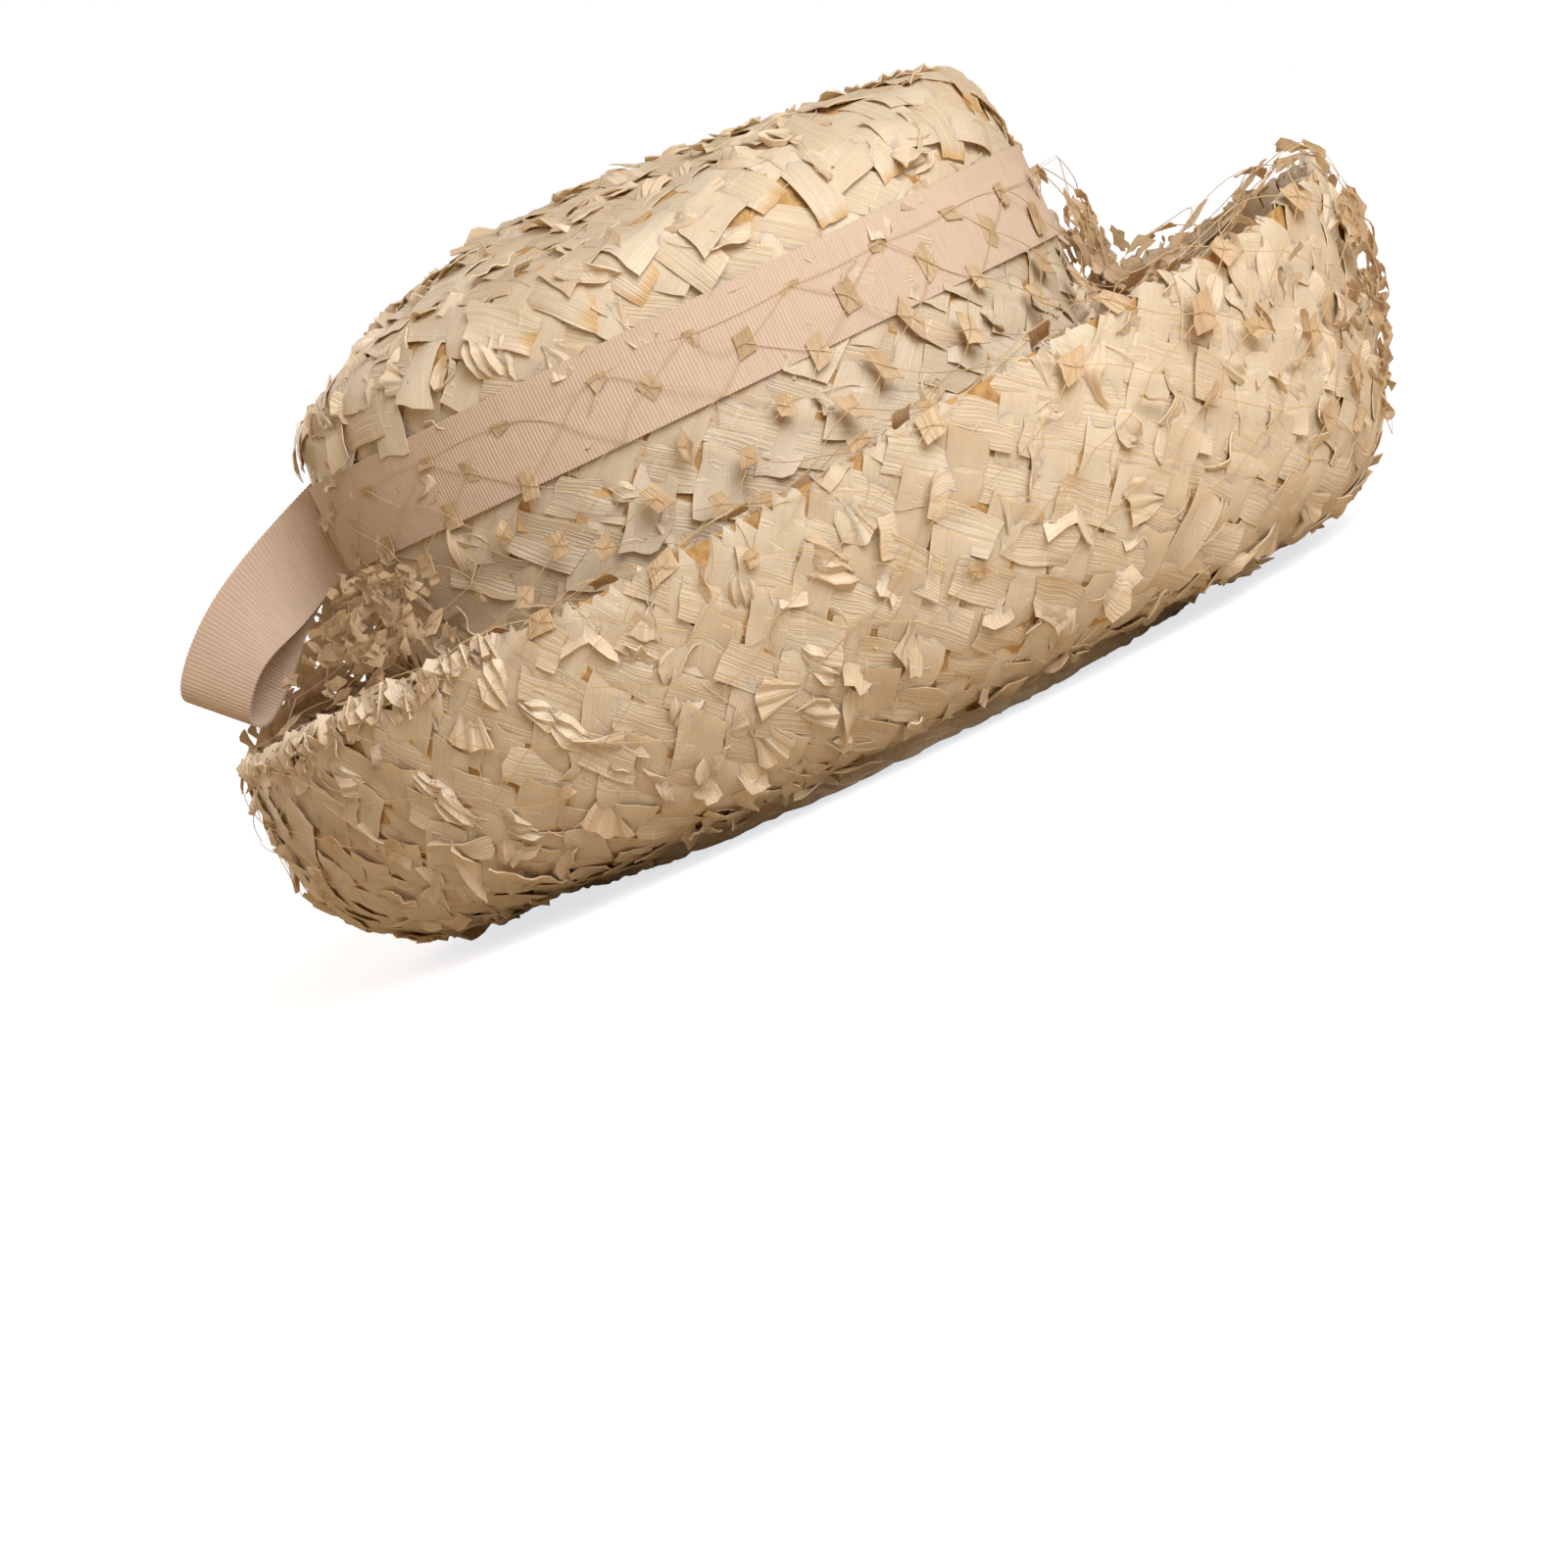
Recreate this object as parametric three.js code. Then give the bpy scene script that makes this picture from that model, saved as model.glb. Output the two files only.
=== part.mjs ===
// A breton hat of woven straw: a tall crown, a turned-up brim, a ribbon band with one loop
// at the back, and a flecked net veil. Millimetres, +X is the front and +Z is up.
// The hat rests on the lip of its crown, and the origin is under the middle of its box.
import * as THREE from "three";
import { mergeVertices } from "three/addons/utils/BufferGeometryUtils.js";

const STRAW = { color: 0xe3cb9c, roughness: 0.55, metalness: 0 };
const RIBBON = { color: 0xe6cfb4, roughness: 0.6, metalness: 0 };
const NET = { color: 0xb08c5c, roughness: 0.6, metalness: 0 };

const WALL = 3;
const GAP = 0.4;
const AROUND = 48;

// The outside of the crown, from its lip to the middle of its top.
const CROWN_ROWS = [
  { height: 0, halfLength: 95, halfWidth: 79, setBack: 0, frontLift: 0 },
  { height: 7, halfLength: 95.6, halfWidth: 79.6, setBack: 0.4, frontLift: 0 },
  { height: 32, halfLength: 97.8, halfWidth: 81.8, setBack: 2, frontLift: 0 },
  { height: 70, halfLength: 101.5, halfWidth: 85.5, setBack: 4.5, frontLift: 0 },
  { height: 106, halfLength: 104, halfWidth: 88, setBack: 6, frontLift: 0 },
  { height: 128, halfLength: 104, halfWidth: 88, setBack: 6, frontLift: 0.6 },
  { height: 140, halfLength: 102.4, halfWidth: 86.4, setBack: 6, frontLift: 2 },
  { height: 148, halfLength: 98, halfWidth: 82, setBack: 6, frontLift: 3 },
  { height: 154, halfLength: 88, halfWidth: 73, setBack: 6, frontLift: 3 },
  { height: 159.5, halfLength: 68, halfWidth: 56, setBack: 6, frontLift: 1 },
  { height: 164.5, halfLength: 42, halfWidth: 34, setBack: 6, frontLift: -1.5 },
  { height: 167.5, halfLength: 18, halfWidth: 15, setBack: 6, frontLift: -1 },
  { height: 168, halfLength: 0, halfWidth: 0, setBack: 6, frontLift: 0 },
];

// The middle of the brim's wall, by the turn from the front in degrees. Each row is a curve
// from the crown out to the edge: it sets off toward (belly, sag) and ends past (swell, heel).
const BRIM_ROOT = 6.8;
const BRIM_STEPS = 12;
const BRIM_ROWS = [
  { turn: 0, belly: 54, sag: 1, swell: 68, heel: 10, reach: 71.5, rise: 91 },
  { turn: 45, belly: 38, sag: 9, swell: 56, heel: 14, reach: 60.5, rise: 83 },
  { turn: 90, belly: 20, sag: 9, swell: 44, heel: 24, reach: 47.5, rise: 77 },
  { turn: 135, belly: 30, sag: 8, swell: 56, heel: 20, reach: 55, rise: 72 },
  { turn: 180, belly: 46, sag: 0, swell: 69, heel: 19, reach: 62, rise: 68 },
];
const EDGE_WAVES = 5;
const EDGE_WAVE = 1;

const BAND_WIDTH = 25;
const BAND_FOOT = 103.5;
const BAND_THICK = 1;

const LOOP_LENGTH = 53;
const LOOP_DROP = 33;
const LOOP_HALF = 7.5;
const LOOP_ROLL = THREE.MathUtils.degToRad(35);
const LOOP_NECK = 1.5;

const VEIL_COLUMNS = 16;
const VEIL_ROWS = 7;
const VEIL_PITCH = 46;
const VEIL_ROW = 19;
const VEIL_KNOT = 4.5;
const VEIL_STRAND = 0.06;
const VEIL_FOLD = [2, 3, 4];
const VEIL_THICK = 1;
const VEIL_END = THREE.MathUtils.degToRad(165);

// Reads a table smoothly between its rows.
function tableOf(rows, key) {
  const columns = Object.keys(rows[0]).filter((name) => name !== key);
  const places = rows.map((row) => row[key]);
  const values = rows.flatMap((row) => columns.map((name) => row[name]));
  const track = new THREE.CubicInterpolant(places, values, columns.length, new Array(columns.length));
  return (place) => {
    const found = track.evaluate(place);
    return Object.fromEntries(columns.map((name, i) => [name, found[i]]));
  };
}

// Moves off a surface given as a function of two values, along its outward side.
function offSurface(pointAt, first, second, distance) {
  const step = 1e-3;
  const along = pointAt(first + step, second).sub(pointAt(first - step, second));
  const around = pointAt(first, second + step).sub(pointAt(first, second - step));
  const normal = around.cross(along).normalize();
  return pointAt(first, second).addScaledVector(normal, distance);
}

// Welds a geometry into one closed skin, and drops the faces that have shrunk to lines.
function weld(geometry) {
  geometry.deleteAttribute("normal");
  geometry.deleteAttribute("uv");
  const welded = mergeVertices(geometry, 1e-4);
  const corners = welded.getIndex().array;
  const kept = [];
  for (let i = 0; i < corners.length; i += 3) {
    const [a, b, c] = [corners[i], corners[i + 1], corners[i + 2]];
    if (a !== b && b !== c && c !== a) {
      kept.push(a, b, c);
    }
  }
  welded.setIndex(kept);
  welded.computeVertexNormals();
  return welded;
}

// A ring all round the hat: a turned profile whose points are then laid where pointAt says.
function turned(count, pointAt) {
  const profile = [];
  for (let j = 0; j < count; j += 1) {
    profile.push(new THREE.Vector2(1, j));
  }
  const geometry = new THREE.LatheGeometry(profile, AROUND);
  const place = geometry.getAttribute("position");
  for (let i = 0; i <= AROUND; i += 1) {
    const turn = ((i % AROUND) / AROUND) * 2 * Math.PI;
    for (let j = 0; j < count; j += 1) {
      const point = pointAt(j, turn);
      place.setXYZ(i * count + j, point.x, point.y, point.z);
    }
  }
  return weld(geometry);
}

function piece(name, geometry, look) {
  const mesh = new THREE.Mesh(geometry, new THREE.MeshStandardMaterial(look));
  mesh.name = name;
  return mesh;
}

const crownRow = tableOf(CROWN_ROWS.map((row, along) => ({ along, ...row })), "along");
const CROWN_TOP = CROWN_ROWS.length - 1;

function crownPoint(along, turn) {
  const row = crownRow(along);
  return new THREE.Vector3(
    row.halfLength * Math.cos(turn) - row.setBack,
    row.halfWidth * Math.sin(turn),
    row.height + row.frontLift * Math.cos(turn),
  );
}

// The place along the crown's table where its wall has a height.
function crownAlong(height) {
  let low = 0;
  let high = CROWN_TOP;
  while (high - low > 1e-6) {
    const middle = (low + high) / 2;
    if (crownRow(middle).height < height) {
      low = middle;
    } else {
      high = middle;
    }
  }
  return low;
}

function makeCrown() {
  const rows = CROWN_ROWS.length;
  return turned(2 * rows, (j, turn) => {
    if (j >= rows) {
      return crownPoint(j - rows, turn);
    }
    const along = rows - 1 - j;
    if (along === CROWN_TOP) {
      return crownPoint(along, turn).setZ(CROWN_ROWS[CROWN_TOP].height - WALL);
    }
    const inside = offSurface(crownPoint, Math.max(along, 0.01), turn, -WALL);
    return along === 0 ? inside.setZ(0) : inside;
  });
}

const CROWN_AT_BRIM = crownRow(crownAlong(BRIM_ROOT));
const ROUND = [-45, ...BRIM_ROWS.map((row) => row.turn), 225];
const brimRow = tableOf(
  ROUND.map((turn) => ({ ...BRIM_ROWS.find((row) => row.turn === Math.min(Math.abs(turn), 360 - turn)), turn })),
  "turn",
);

// The place on the brim, from 0 at the crown to 1 at the edge, and so far out from its middle.
function brimPoint(along, turn, out) {
  const angle = Math.abs(THREE.MathUtils.radToDeg(Math.atan2(Math.sin(turn), Math.cos(turn))));
  const row = brimRow(angle);
  const wave = EDGE_WAVE * Math.sin(EDGE_WAVES * turn + 0.7);
  const curve = new THREE.CubicBezierCurve(
    new THREE.Vector2(0, BRIM_ROOT),
    new THREE.Vector2(row.belly, row.sag),
    new THREE.Vector2(row.swell, row.heel),
    new THREE.Vector2(row.reach + wave, row.rise + wave),
  );
  const spot = curve.getPoint(along);
  const way = curve.getTangent(along);
  const root = CROWN_AT_BRIM;
  const facing = new THREE.Vector2(Math.cos(turn) / root.halfLength, Math.sin(turn) / root.halfWidth);
  facing.normalize();
  const reach = GAP + spot.x + way.y * out;
  return new THREE.Vector3(
    root.halfLength * Math.cos(turn) - root.setBack + facing.x * reach,
    root.halfWidth * Math.sin(turn) + facing.y * reach,
    spot.y - way.x * out,
  );
}

function makeBrim() {
  const side = BRIM_STEPS + 1;
  const count = 2 * side + 1;
  return turned(count + 1, (j, turn) => {
    if (j === side) {
      return brimPoint(1, turn, 0).add(new THREE.Vector3(0, 0, WALL / 4));
    }
    const within = j % count;
    if (within < side) {
      return brimPoint(within / BRIM_STEPS, turn, WALL / 2);
    }
    return brimPoint((count - 1 - within) / BRIM_STEPS, turn, -WALL / 2);
  });
}

function makeBand() {
  const heights = [0, 0.5, 1].map((share) => crownAlong(BAND_FOOT + BAND_WIDTH * share));
  const count = 2 * heights.length;
  return turned(count + 1, (j, turn) => {
    const within = j % count;
    const outside = within < heights.length;
    const along = outside ? heights[within] : heights[count - 1 - within];
    return offSurface(crownPoint, along, turn, outside ? GAP + BAND_THICK : GAP);
  });
}

// The outline of the loop seen from above: a neck at the band, swelling to a rounded fold.
function loopOutline(path, start, end, neck, half) {
  const length = end - start;
  path.moveTo(start, -neck);
  path.bezierCurveTo(start + 0.35 * length, -neck, start + 0.5 * length, -half, start + 0.75 * length, -half);
  path.bezierCurveTo(start + 0.95 * length, -half, end, -half * 0.6, end, 0);
  path.bezierCurveTo(end, half * 0.6, start + 0.95 * length, half, start + 0.75 * length, half);
  path.bezierCurveTo(start + 0.5 * length, half, start + 0.35 * length, neck, start, neck);
  path.closePath();
  return path;
}

function makeLoop() {
  const outline = loopOutline(new THREE.Shape(), 0, LOOP_LENGTH, LOOP_NECK, LOOP_HALF);
  const inside = [4, LOOP_LENGTH - BAND_THICK, LOOP_NECK - 1.1, LOOP_HALF - BAND_THICK];
  outline.holes.push(loopOutline(new THREE.Path(), ...inside));
  const geometry = weld(
    new THREE.ExtrudeGeometry(outline, {
      depth: BAND_WIDTH,
      steps: 4,
      curveSegments: 6,
      bevelEnabled: false,
    }),
  );
  const tip = offSurface(crownPoint, crownAlong(BAND_FOOT + BAND_WIDTH / 2), Math.PI, 2 * GAP + BAND_THICK);
  const droop = new THREE.QuadraticBezierCurve(
    new THREE.Vector2(0, 0),
    new THREE.Vector2(LOOP_LENGTH * 0.5, -LOOP_DROP * 0.3),
    new THREE.Vector2(LOOP_LENGTH * 0.88, -LOOP_DROP),
  );
  const place = geometry.getAttribute("position");
  for (let i = 0; i < place.count; i += 1) {
    const along = place.getX(i) / LOOP_LENGTH;
    const bend = THREE.MathUtils.smoothstep(along, 0, 0.8);
    const roll = LOOP_ROLL * bend;
    const across = place.getZ(i) - BAND_WIDTH / 2;
    const layer = -place.getY(i);
    const aside = layer * Math.cos(roll) + across * Math.sin(roll);
    const up = across * Math.cos(roll) - layer * Math.sin(roll);
    const spot = droop.getPoint(along);
    const way = droop.getTangent(along).lerp(new THREE.Vector2(1, 0), 1 - bend).normalize();
    place.setXYZ(i, tip.x - spot.x + way.y * up, tip.y + aside, tip.z + spot.y + way.x * up);
  }
  geometry.computeVertexNormals();
  return geometry;
}

const VEIL_HIGH = crownAlong(BAND_FOOT + 0.72 * BAND_WIDTH);
const VEIL_FOOT = crownAlong(BAND_FOOT - 2);
const VEIL_OFF = crownAlong(86);

// A line of the veil: from the band down into the trough and out over the brim's edge.
function veilLine(turn) {
  const high = offSurface(crownPoint, VEIL_HIGH, turn, 3.4);
  const foot = offSurface(crownPoint, VEIL_FOOT, turn, 4.4);
  const off = offSurface(crownPoint, VEIL_OFF, turn, 8);
  const edge = brimPoint(1, turn, 0);
  const over = edge.clone().add(new THREE.Vector3(0, 0, 7));
  const outside = brimPoint(0.96, turn, 8);
  const trough = off.clone().lerp(edge, 0.5).setZ(edge.z - 5);
  const low = brimPoint(0.84, turn, 8);
  const foremost = 0.66 - 0.12 * Math.max(0, Math.cos(turn));
  const end = brimPoint(foremost, turn, 6);
  return new THREE.CatmullRomCurve3([high, foot, off, trough, over, outside, low, end]);
}

function veilPoint(along, turn) {
  return veilLine(turn).getPoint(THREE.MathUtils.clamp(along, 0, 1));
}

// One gap of the net: a diamond whose corners are cut off by the flecks that join the strands.
// Its long sides are split into steps, to bend.
function netGap(across, up, steps) {
  const [a, b, knot] = [VEIL_PITCH / 2, VEIL_ROW, VEIL_KNOT];
  const low = new THREE.Vector2(a - knot, b * (knot / a - VEIL_STRAND));
  const high = new THREE.Vector2(a * (knot / b - VEIL_STRAND), b - knot);
  const slope = [];
  for (let i = 0; i <= steps; i += 1) {
    slope.push(high.clone().lerp(low, i / steps));
  }
  const half = [...slope, ...slope.map(({ x, y }) => new THREE.Vector2(x, -y)).reverse()];
  const rest = half.map(({ x, y }) => new THREE.Vector2(-x, y)).reverse();
  return new THREE.Path([...half, ...rest].map(({ x, y }) => new THREE.Vector2(across + x, up + y)));
}

// The cut edge of the net, which runs in zigzags along the outermost strands.
function netOutline(width, height) {
  const corners = [];
  for (let i = 0; i < VEIL_COLUMNS; i += 1) {
    corners.push([(i + 0.5) * VEIL_PITCH, 0]);
    corners.push([(i + 1) * VEIL_PITCH, i < VEIL_COLUMNS - 1 ? VEIL_ROW - VEIL_KNOT : VEIL_ROW]);
  }
  for (let row = 2; row < VEIL_ROWS; row += 2) {
    corners.push([width - VEIL_PITCH / 2 + VEIL_KNOT, row * VEIL_ROW]);
    corners.push([width, (row + 1) * VEIL_ROW]);
  }
  const turned = corners.map(([x, y]) => [width - x, height - y]);
  const outline = new THREE.Shape();
  outline.moveTo(...corners[0]);
  for (const [x, y] of [...corners, ...turned, corners[0]].slice(1)) {
    const from = outline.currentPoint.clone();
    for (let i = 1; i <= 2; i += 1) {
      const spot = from.clone().lerp(new THREE.Vector2(x, y), i / 2);
      outline.lineTo(spot.x, spot.y);
    }
  }
  return outline;
}

function makeVeil() {
  const width = VEIL_COLUMNS * VEIL_PITCH;
  const height = (VEIL_ROWS + 1) * VEIL_ROW;
  const outline = netOutline(width, height);
  for (let row = 1; row <= VEIL_ROWS; row += 1) {
    const steps = VEIL_FOLD.includes(row) ? 3 : 1;
    for (let across = row % 2 ? 0.5 : 1; across < VEIL_COLUMNS; across += 1) {
      outline.holes.push(netGap(across * VEIL_PITCH, row * VEIL_ROW, steps));
    }
  }
  const geometry = weld(
    new THREE.ExtrudeGeometry(outline, { depth: VEIL_THICK, steps: 1, bevelEnabled: false }),
  );
  const place = geometry.getAttribute("position");
  for (let i = 0; i < place.count; i += 1) {
    const turn = (2 * place.getX(i) / width - 1) * VEIL_END;
    const along = THREE.MathUtils.clamp(1 - place.getY(i) / height, 0.002, 0.998);
    const point = offSurface(veilPoint, along, turn, VEIL_THICK / 2 - place.getZ(i));
    place.setXYZ(i, point.x, point.y, point.z);
  }
  geometry.computeVertexNormals();
  return geometry;
}

const hat = new THREE.Group();
hat.add(piece("crown", makeCrown(), STRAW));
hat.add(piece("brim", makeBrim(), STRAW));
hat.add(piece("hat_band", makeBand(), RIBBON));
hat.add(piece("bow_loop", makeLoop(), RIBBON));
hat.add(piece("veil", makeVeil(), NET));

const box = new THREE.Box3().setFromObject(hat);
for (const mesh of hat.children) {
  mesh.geometry.translate(-(box.min.x + box.max.x) / 2, -(box.min.y + box.max.y) / 2, -box.min.z);
}

export default hat;
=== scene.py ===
"""A breton hat of woven straw, dressed over its solids: crown, turned-up brim, ribbon and veil."""

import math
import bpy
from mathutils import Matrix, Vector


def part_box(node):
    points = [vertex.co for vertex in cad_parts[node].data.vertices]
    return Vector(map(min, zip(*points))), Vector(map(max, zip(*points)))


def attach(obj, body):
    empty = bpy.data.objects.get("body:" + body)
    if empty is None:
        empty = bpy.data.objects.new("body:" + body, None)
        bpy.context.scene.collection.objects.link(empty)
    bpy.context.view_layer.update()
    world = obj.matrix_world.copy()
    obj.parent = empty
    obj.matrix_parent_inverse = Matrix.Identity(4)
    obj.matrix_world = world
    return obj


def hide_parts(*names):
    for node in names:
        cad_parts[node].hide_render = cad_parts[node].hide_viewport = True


bl_info = {
    "name": "Breton hat",
    "version": (1, 0, 0),
    "blender": (4, 5, 0),
    "location": "View3D > Sidebar > Hat",
    "description": "Woven straw hat with a ribbon band, one ribbon loop and a flecked net veil",
    "category": "Object",
}

from collections import namedtuple

import bmesh
import bpy
import numpy as np
from mathutils import Matrix, Vector

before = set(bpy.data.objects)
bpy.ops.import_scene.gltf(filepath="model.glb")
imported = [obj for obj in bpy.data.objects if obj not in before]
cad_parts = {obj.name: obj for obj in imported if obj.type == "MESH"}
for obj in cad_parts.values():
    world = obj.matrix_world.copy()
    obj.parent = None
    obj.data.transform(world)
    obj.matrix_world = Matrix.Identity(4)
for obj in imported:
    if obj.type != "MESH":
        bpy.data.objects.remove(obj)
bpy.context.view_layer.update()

MM = 0.001
TURN = 2 * math.pi

# The thickness of the straw's wall and the gap that sewn pieces keep, in millimetres.
WALL = 3.0
GAP = 0.4

# The outside of the crown in millimetres, from its lip to the middle of its top.
CrownRow = namedtuple("CrownRow", "height half_length half_width set_back front_lift")
CROWN_ROWS = (
    CrownRow(0, 95, 79, 0, 0),
    CrownRow(7, 95.6, 79.6, 0.4, 0),
    CrownRow(32, 97.8, 81.8, 2, 0),
    CrownRow(70, 101.5, 85.5, 4.5, 0),
    CrownRow(106, 104, 88, 6, 0),
    CrownRow(128, 104, 88, 6, 0.6),
    CrownRow(140, 102.4, 86.4, 6, 2),
    CrownRow(148, 98, 82, 6, 3),
    CrownRow(154, 88, 73, 6, 3),
    CrownRow(159.5, 68, 56, 6, 1),
    CrownRow(164.5, 42, 34, 6, -1.5),
    CrownRow(167.5, 18, 15, 6, -1),
    CrownRow(168, 0, 0, 6, 0),
)

# The middle of the brim's wall in millimetres, by the turn from the front in degrees.
BrimRow = namedtuple("BrimRow", "turn belly sag swell heel reach rise")
BRIM_ROWS = (
    BrimRow(0, 54, 1, 68, 10, 71.5, 91),
    BrimRow(45, 38, 9, 56, 14, 60.5, 83),
    BrimRow(90, 20, 9, 44, 24, 47.5, 77),
    BrimRow(135, 30, 8, 56, 20, 55, 72),
    BrimRow(180, 46, 0, 69, 19, 62, 68),
)
BRIM_ROOT = 6.8
EDGE_WAVES = 5
EDGE_WAVE = 1.0
EDGE_PHASE = 0.7

# The ribbon band and its loop in millimetres, and the turn where each end of the veil stops.
BAND_FOOT = 103.5
BAND_WIDTH = 25.0
LOOP_LENGTH = 53.0
LOOP_DROP = 33.0
LOOP_HALF = 7.5
LOOP_ROLL = math.radians(35)
LOOP_NECK = 1.5
VEIL_END = math.radians(177)

# The tables are set where the crown's solid stands.
crown_low, crown_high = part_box("crown")
CROWN_FRONT = max(row.half_length - row.set_back for row in CROWN_ROWS)
SHIFT = np.array([crown_high.x / MM - CROWN_FRONT, (crown_low.y + crown_high.y) / 2 / MM, 0])


def read_table(rows, places, x):
    """Reads the rows of a table smoothly between its places."""
    values = np.asarray(rows, float)
    places = np.asarray(places, float)
    slopes = np.gradient(values, places, axis=0)
    i = np.clip(np.searchsorted(places, x, side="right") - 1, 0, len(places) - 2)
    wide = (places[i + 1] - places[i])[..., None]
    t = (x - places[i])[..., None] / wide
    return (
        (2 * t**3 - 3 * t**2 + 1) * values[i]
        + (t**3 - 2 * t**2 + t) * wide * slopes[i]
        + (3 * t**2 - 2 * t**3) * values[i + 1]
        + (t**3 - t**2) * wide * slopes[i + 1]
    )


def cubic(t, a, b, c, d):
    """A place on a curve with four corners."""
    return (1 - t) ** 3 * a + 3 * (1 - t) ** 2 * t * b + 3 * (1 - t) * t**2 * c + t**3 * d


def run_lengths(line):
    """The way from the start of a line to each of its points."""
    return np.concatenate([[0], np.cumsum(np.linalg.norm(np.diff(line, axis=0), axis=1))])


def crown_row(along):
    return read_table(CROWN_ROWS, range(len(CROWN_ROWS)), along)


def crown_point(along, turn):
    """The outside of the crown at a place along its table and a turn."""
    height, half_length, half_width, set_back, lift = np.moveaxis(crown_row(along), -1, 0)
    x = half_length * np.cos(turn) - set_back
    y = half_width * np.sin(turn)
    z = height + lift * np.cos(turn)
    return np.stack([x, y, z], axis=-1) + SHIFT


CROWN_ALONG = np.linspace(0, len(CROWN_ROWS) - 1, 2401)
CROWN_HEIGHT = crown_row(CROWN_ALONG)[:, 0]


def crown_along(height):
    """The place along the crown's table where its wall has a height."""
    return np.interp(height, CROWN_HEIGHT, CROWN_ALONG)


def crown_off(along, turn, off):
    """A place off the crown's outside, so far out along its normal."""
    step = 1e-3
    up = crown_point(along + step, turn) - crown_point(along - step, turn)
    side = crown_point(along, turn + step) - crown_point(along, turn - step)
    normal = np.cross(side, up)
    normal /= np.maximum(np.linalg.norm(normal, axis=-1, keepdims=True), 1e-12)
    return crown_point(along, turn) + normal * np.asarray(off)[..., None]


def over_crown(height, turn, off):
    """Places round the crown at one height, so far off its outside."""
    return crown_off(np.full_like(turn, crown_along(height)), turn, off)


def brim_point(along, turn, out):
    """A place on the brim, from 0 at the crown to 1 at the edge, so far out from its middle."""
    along, turn, out = np.broadcast_arrays(
        np.asarray(along, float), np.asarray(turn, float), np.asarray(out, float)
    )
    angle = np.abs(np.degrees(np.arctan2(np.sin(turn), np.cos(turn))))
    round_rows = (BRIM_ROWS[1], *BRIM_ROWS, BRIM_ROWS[-2])
    turns = [row.turn for row in BRIM_ROWS]
    places = [-turns[1], *turns, 360 - turns[-2]]
    row = read_table([one[1:] for one in round_rows], places, angle)
    wave = EDGE_WAVE * np.sin(EDGE_WAVES * turn + EDGE_PHASE)
    zero = np.zeros_like(angle)
    a = np.stack([zero, zero + BRIM_ROOT], -1)
    b, c, d = row[..., 0:2], row[..., 2:4], row[..., 4:6] + wave[..., None]
    t = along[..., None]
    spot = cubic(t, a, b, c, d)
    way = (1 - t) ** 2 * (b - a) + 2 * (1 - t) * t * (c - b) + t**2 * (d - c)
    way /= np.linalg.norm(way, axis=-1, keepdims=True)
    half_length, half_width, set_back = crown_row(crown_along(BRIM_ROOT))[1:4]
    facing = np.stack([np.cos(turn) / half_length, np.sin(turn) / half_width], -1)
    facing /= np.linalg.norm(facing, axis=-1, keepdims=True)
    reach = GAP + spot[..., 0] + way[..., 1] * out
    x = half_length * np.cos(turn) - set_back + facing[..., 0] * reach
    y = half_width * np.sin(turn) + facing[..., 1] * reach
    z = spot[..., 1] - way[..., 0] * out
    return np.stack([x, y, z], axis=-1) + SHIFT


class Wall:
    """A skin read by the turn round the hat and the way along its profile, in millimetres."""

    TURNS = 288
    EASE = 3.0

    def __init__(self, profile, middle):
        ways = np.array([run_lengths(line) for line in profile])
        ways -= ways[:, middle : middle + 1]
        self.first = ways[:, 0]
        self.last = ways[:, -1]
        self.low = math.floor(self.first.min())
        places = np.arange(self.low, math.ceil(self.last.max()) + 1)
        self.points = np.array(
            [
                np.stack([np.interp(places, way, line[:, k]) for k in range(3)], axis=1)
                for way, line in zip(ways, profile)
            ]
        )
        around = np.roll(self.points, -1, axis=0) - np.roll(self.points, 1, axis=0)
        normal = np.cross(around, np.gradient(self.points, axis=1))
        size = np.linalg.norm(normal, axis=2)
        for i, sizes in enumerate(size):
            good = np.flatnonzero(sizes > 0.02)
            next_good = np.searchsorted(good, np.arange(len(places)))
            nearest = good[np.clip(next_good, 0, len(good) - 1)]
            normal[i] = normal[i, nearest] / sizes[nearest, None]
        self.normals = normal

    @classmethod
    def turns(cls):
        return np.arange(cls.TURNS) / cls.TURNS * TURN

    def ends(self, turn):
        """The first and the last way of the profile at a turn."""
        place = (turn / TURN % 1) * self.TURNS
        rim = np.arange(self.TURNS + 1)
        first = np.interp(place, rim, np.append(self.first, self.first[0]))
        last = np.interp(place, rim, np.append(self.last, self.last[0]))
        return first, last

    def read(self, turn, way):
        """Places and outward directions. Near its ends the skin is squeezed, not passed."""
        first, last = self.ends(turn)
        ease = self.EASE
        low, high = first + ease, last - ease
        way = np.where(way < low, first + ease * np.exp((way - first - ease) / ease), way)
        way = np.where(way > high, last - ease * np.exp((last - ease - way) / ease), way)
        across = (turn / TURN % 1) * self.TURNS
        i = np.floor(across).astype(int)
        f = (across - i)[..., None]
        i = i % self.TURNS
        k = (i + 1) % self.TURNS
        along = np.clip(way - self.low, 0, self.points.shape[1] - 1.001)
        j = np.floor(along).astype(int)
        g = (along - j)[..., None]

        def mixed(grid):
            near = grid[i, j] * (1 - g) + grid[i, j + 1] * g
            far = grid[k, j] * (1 - g) + grid[k, j + 1] * g
            return near * (1 - f) + far * f

        normal = mixed(self.normals)
        normal /= np.linalg.norm(normal, axis=-1, keepdims=True)
        return mixed(self.points), normal


# How far the wall lies under the weave, and how far its foot is off the floor, in millimetres.
SINK = 1.1
FOOT = 1.7

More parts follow.
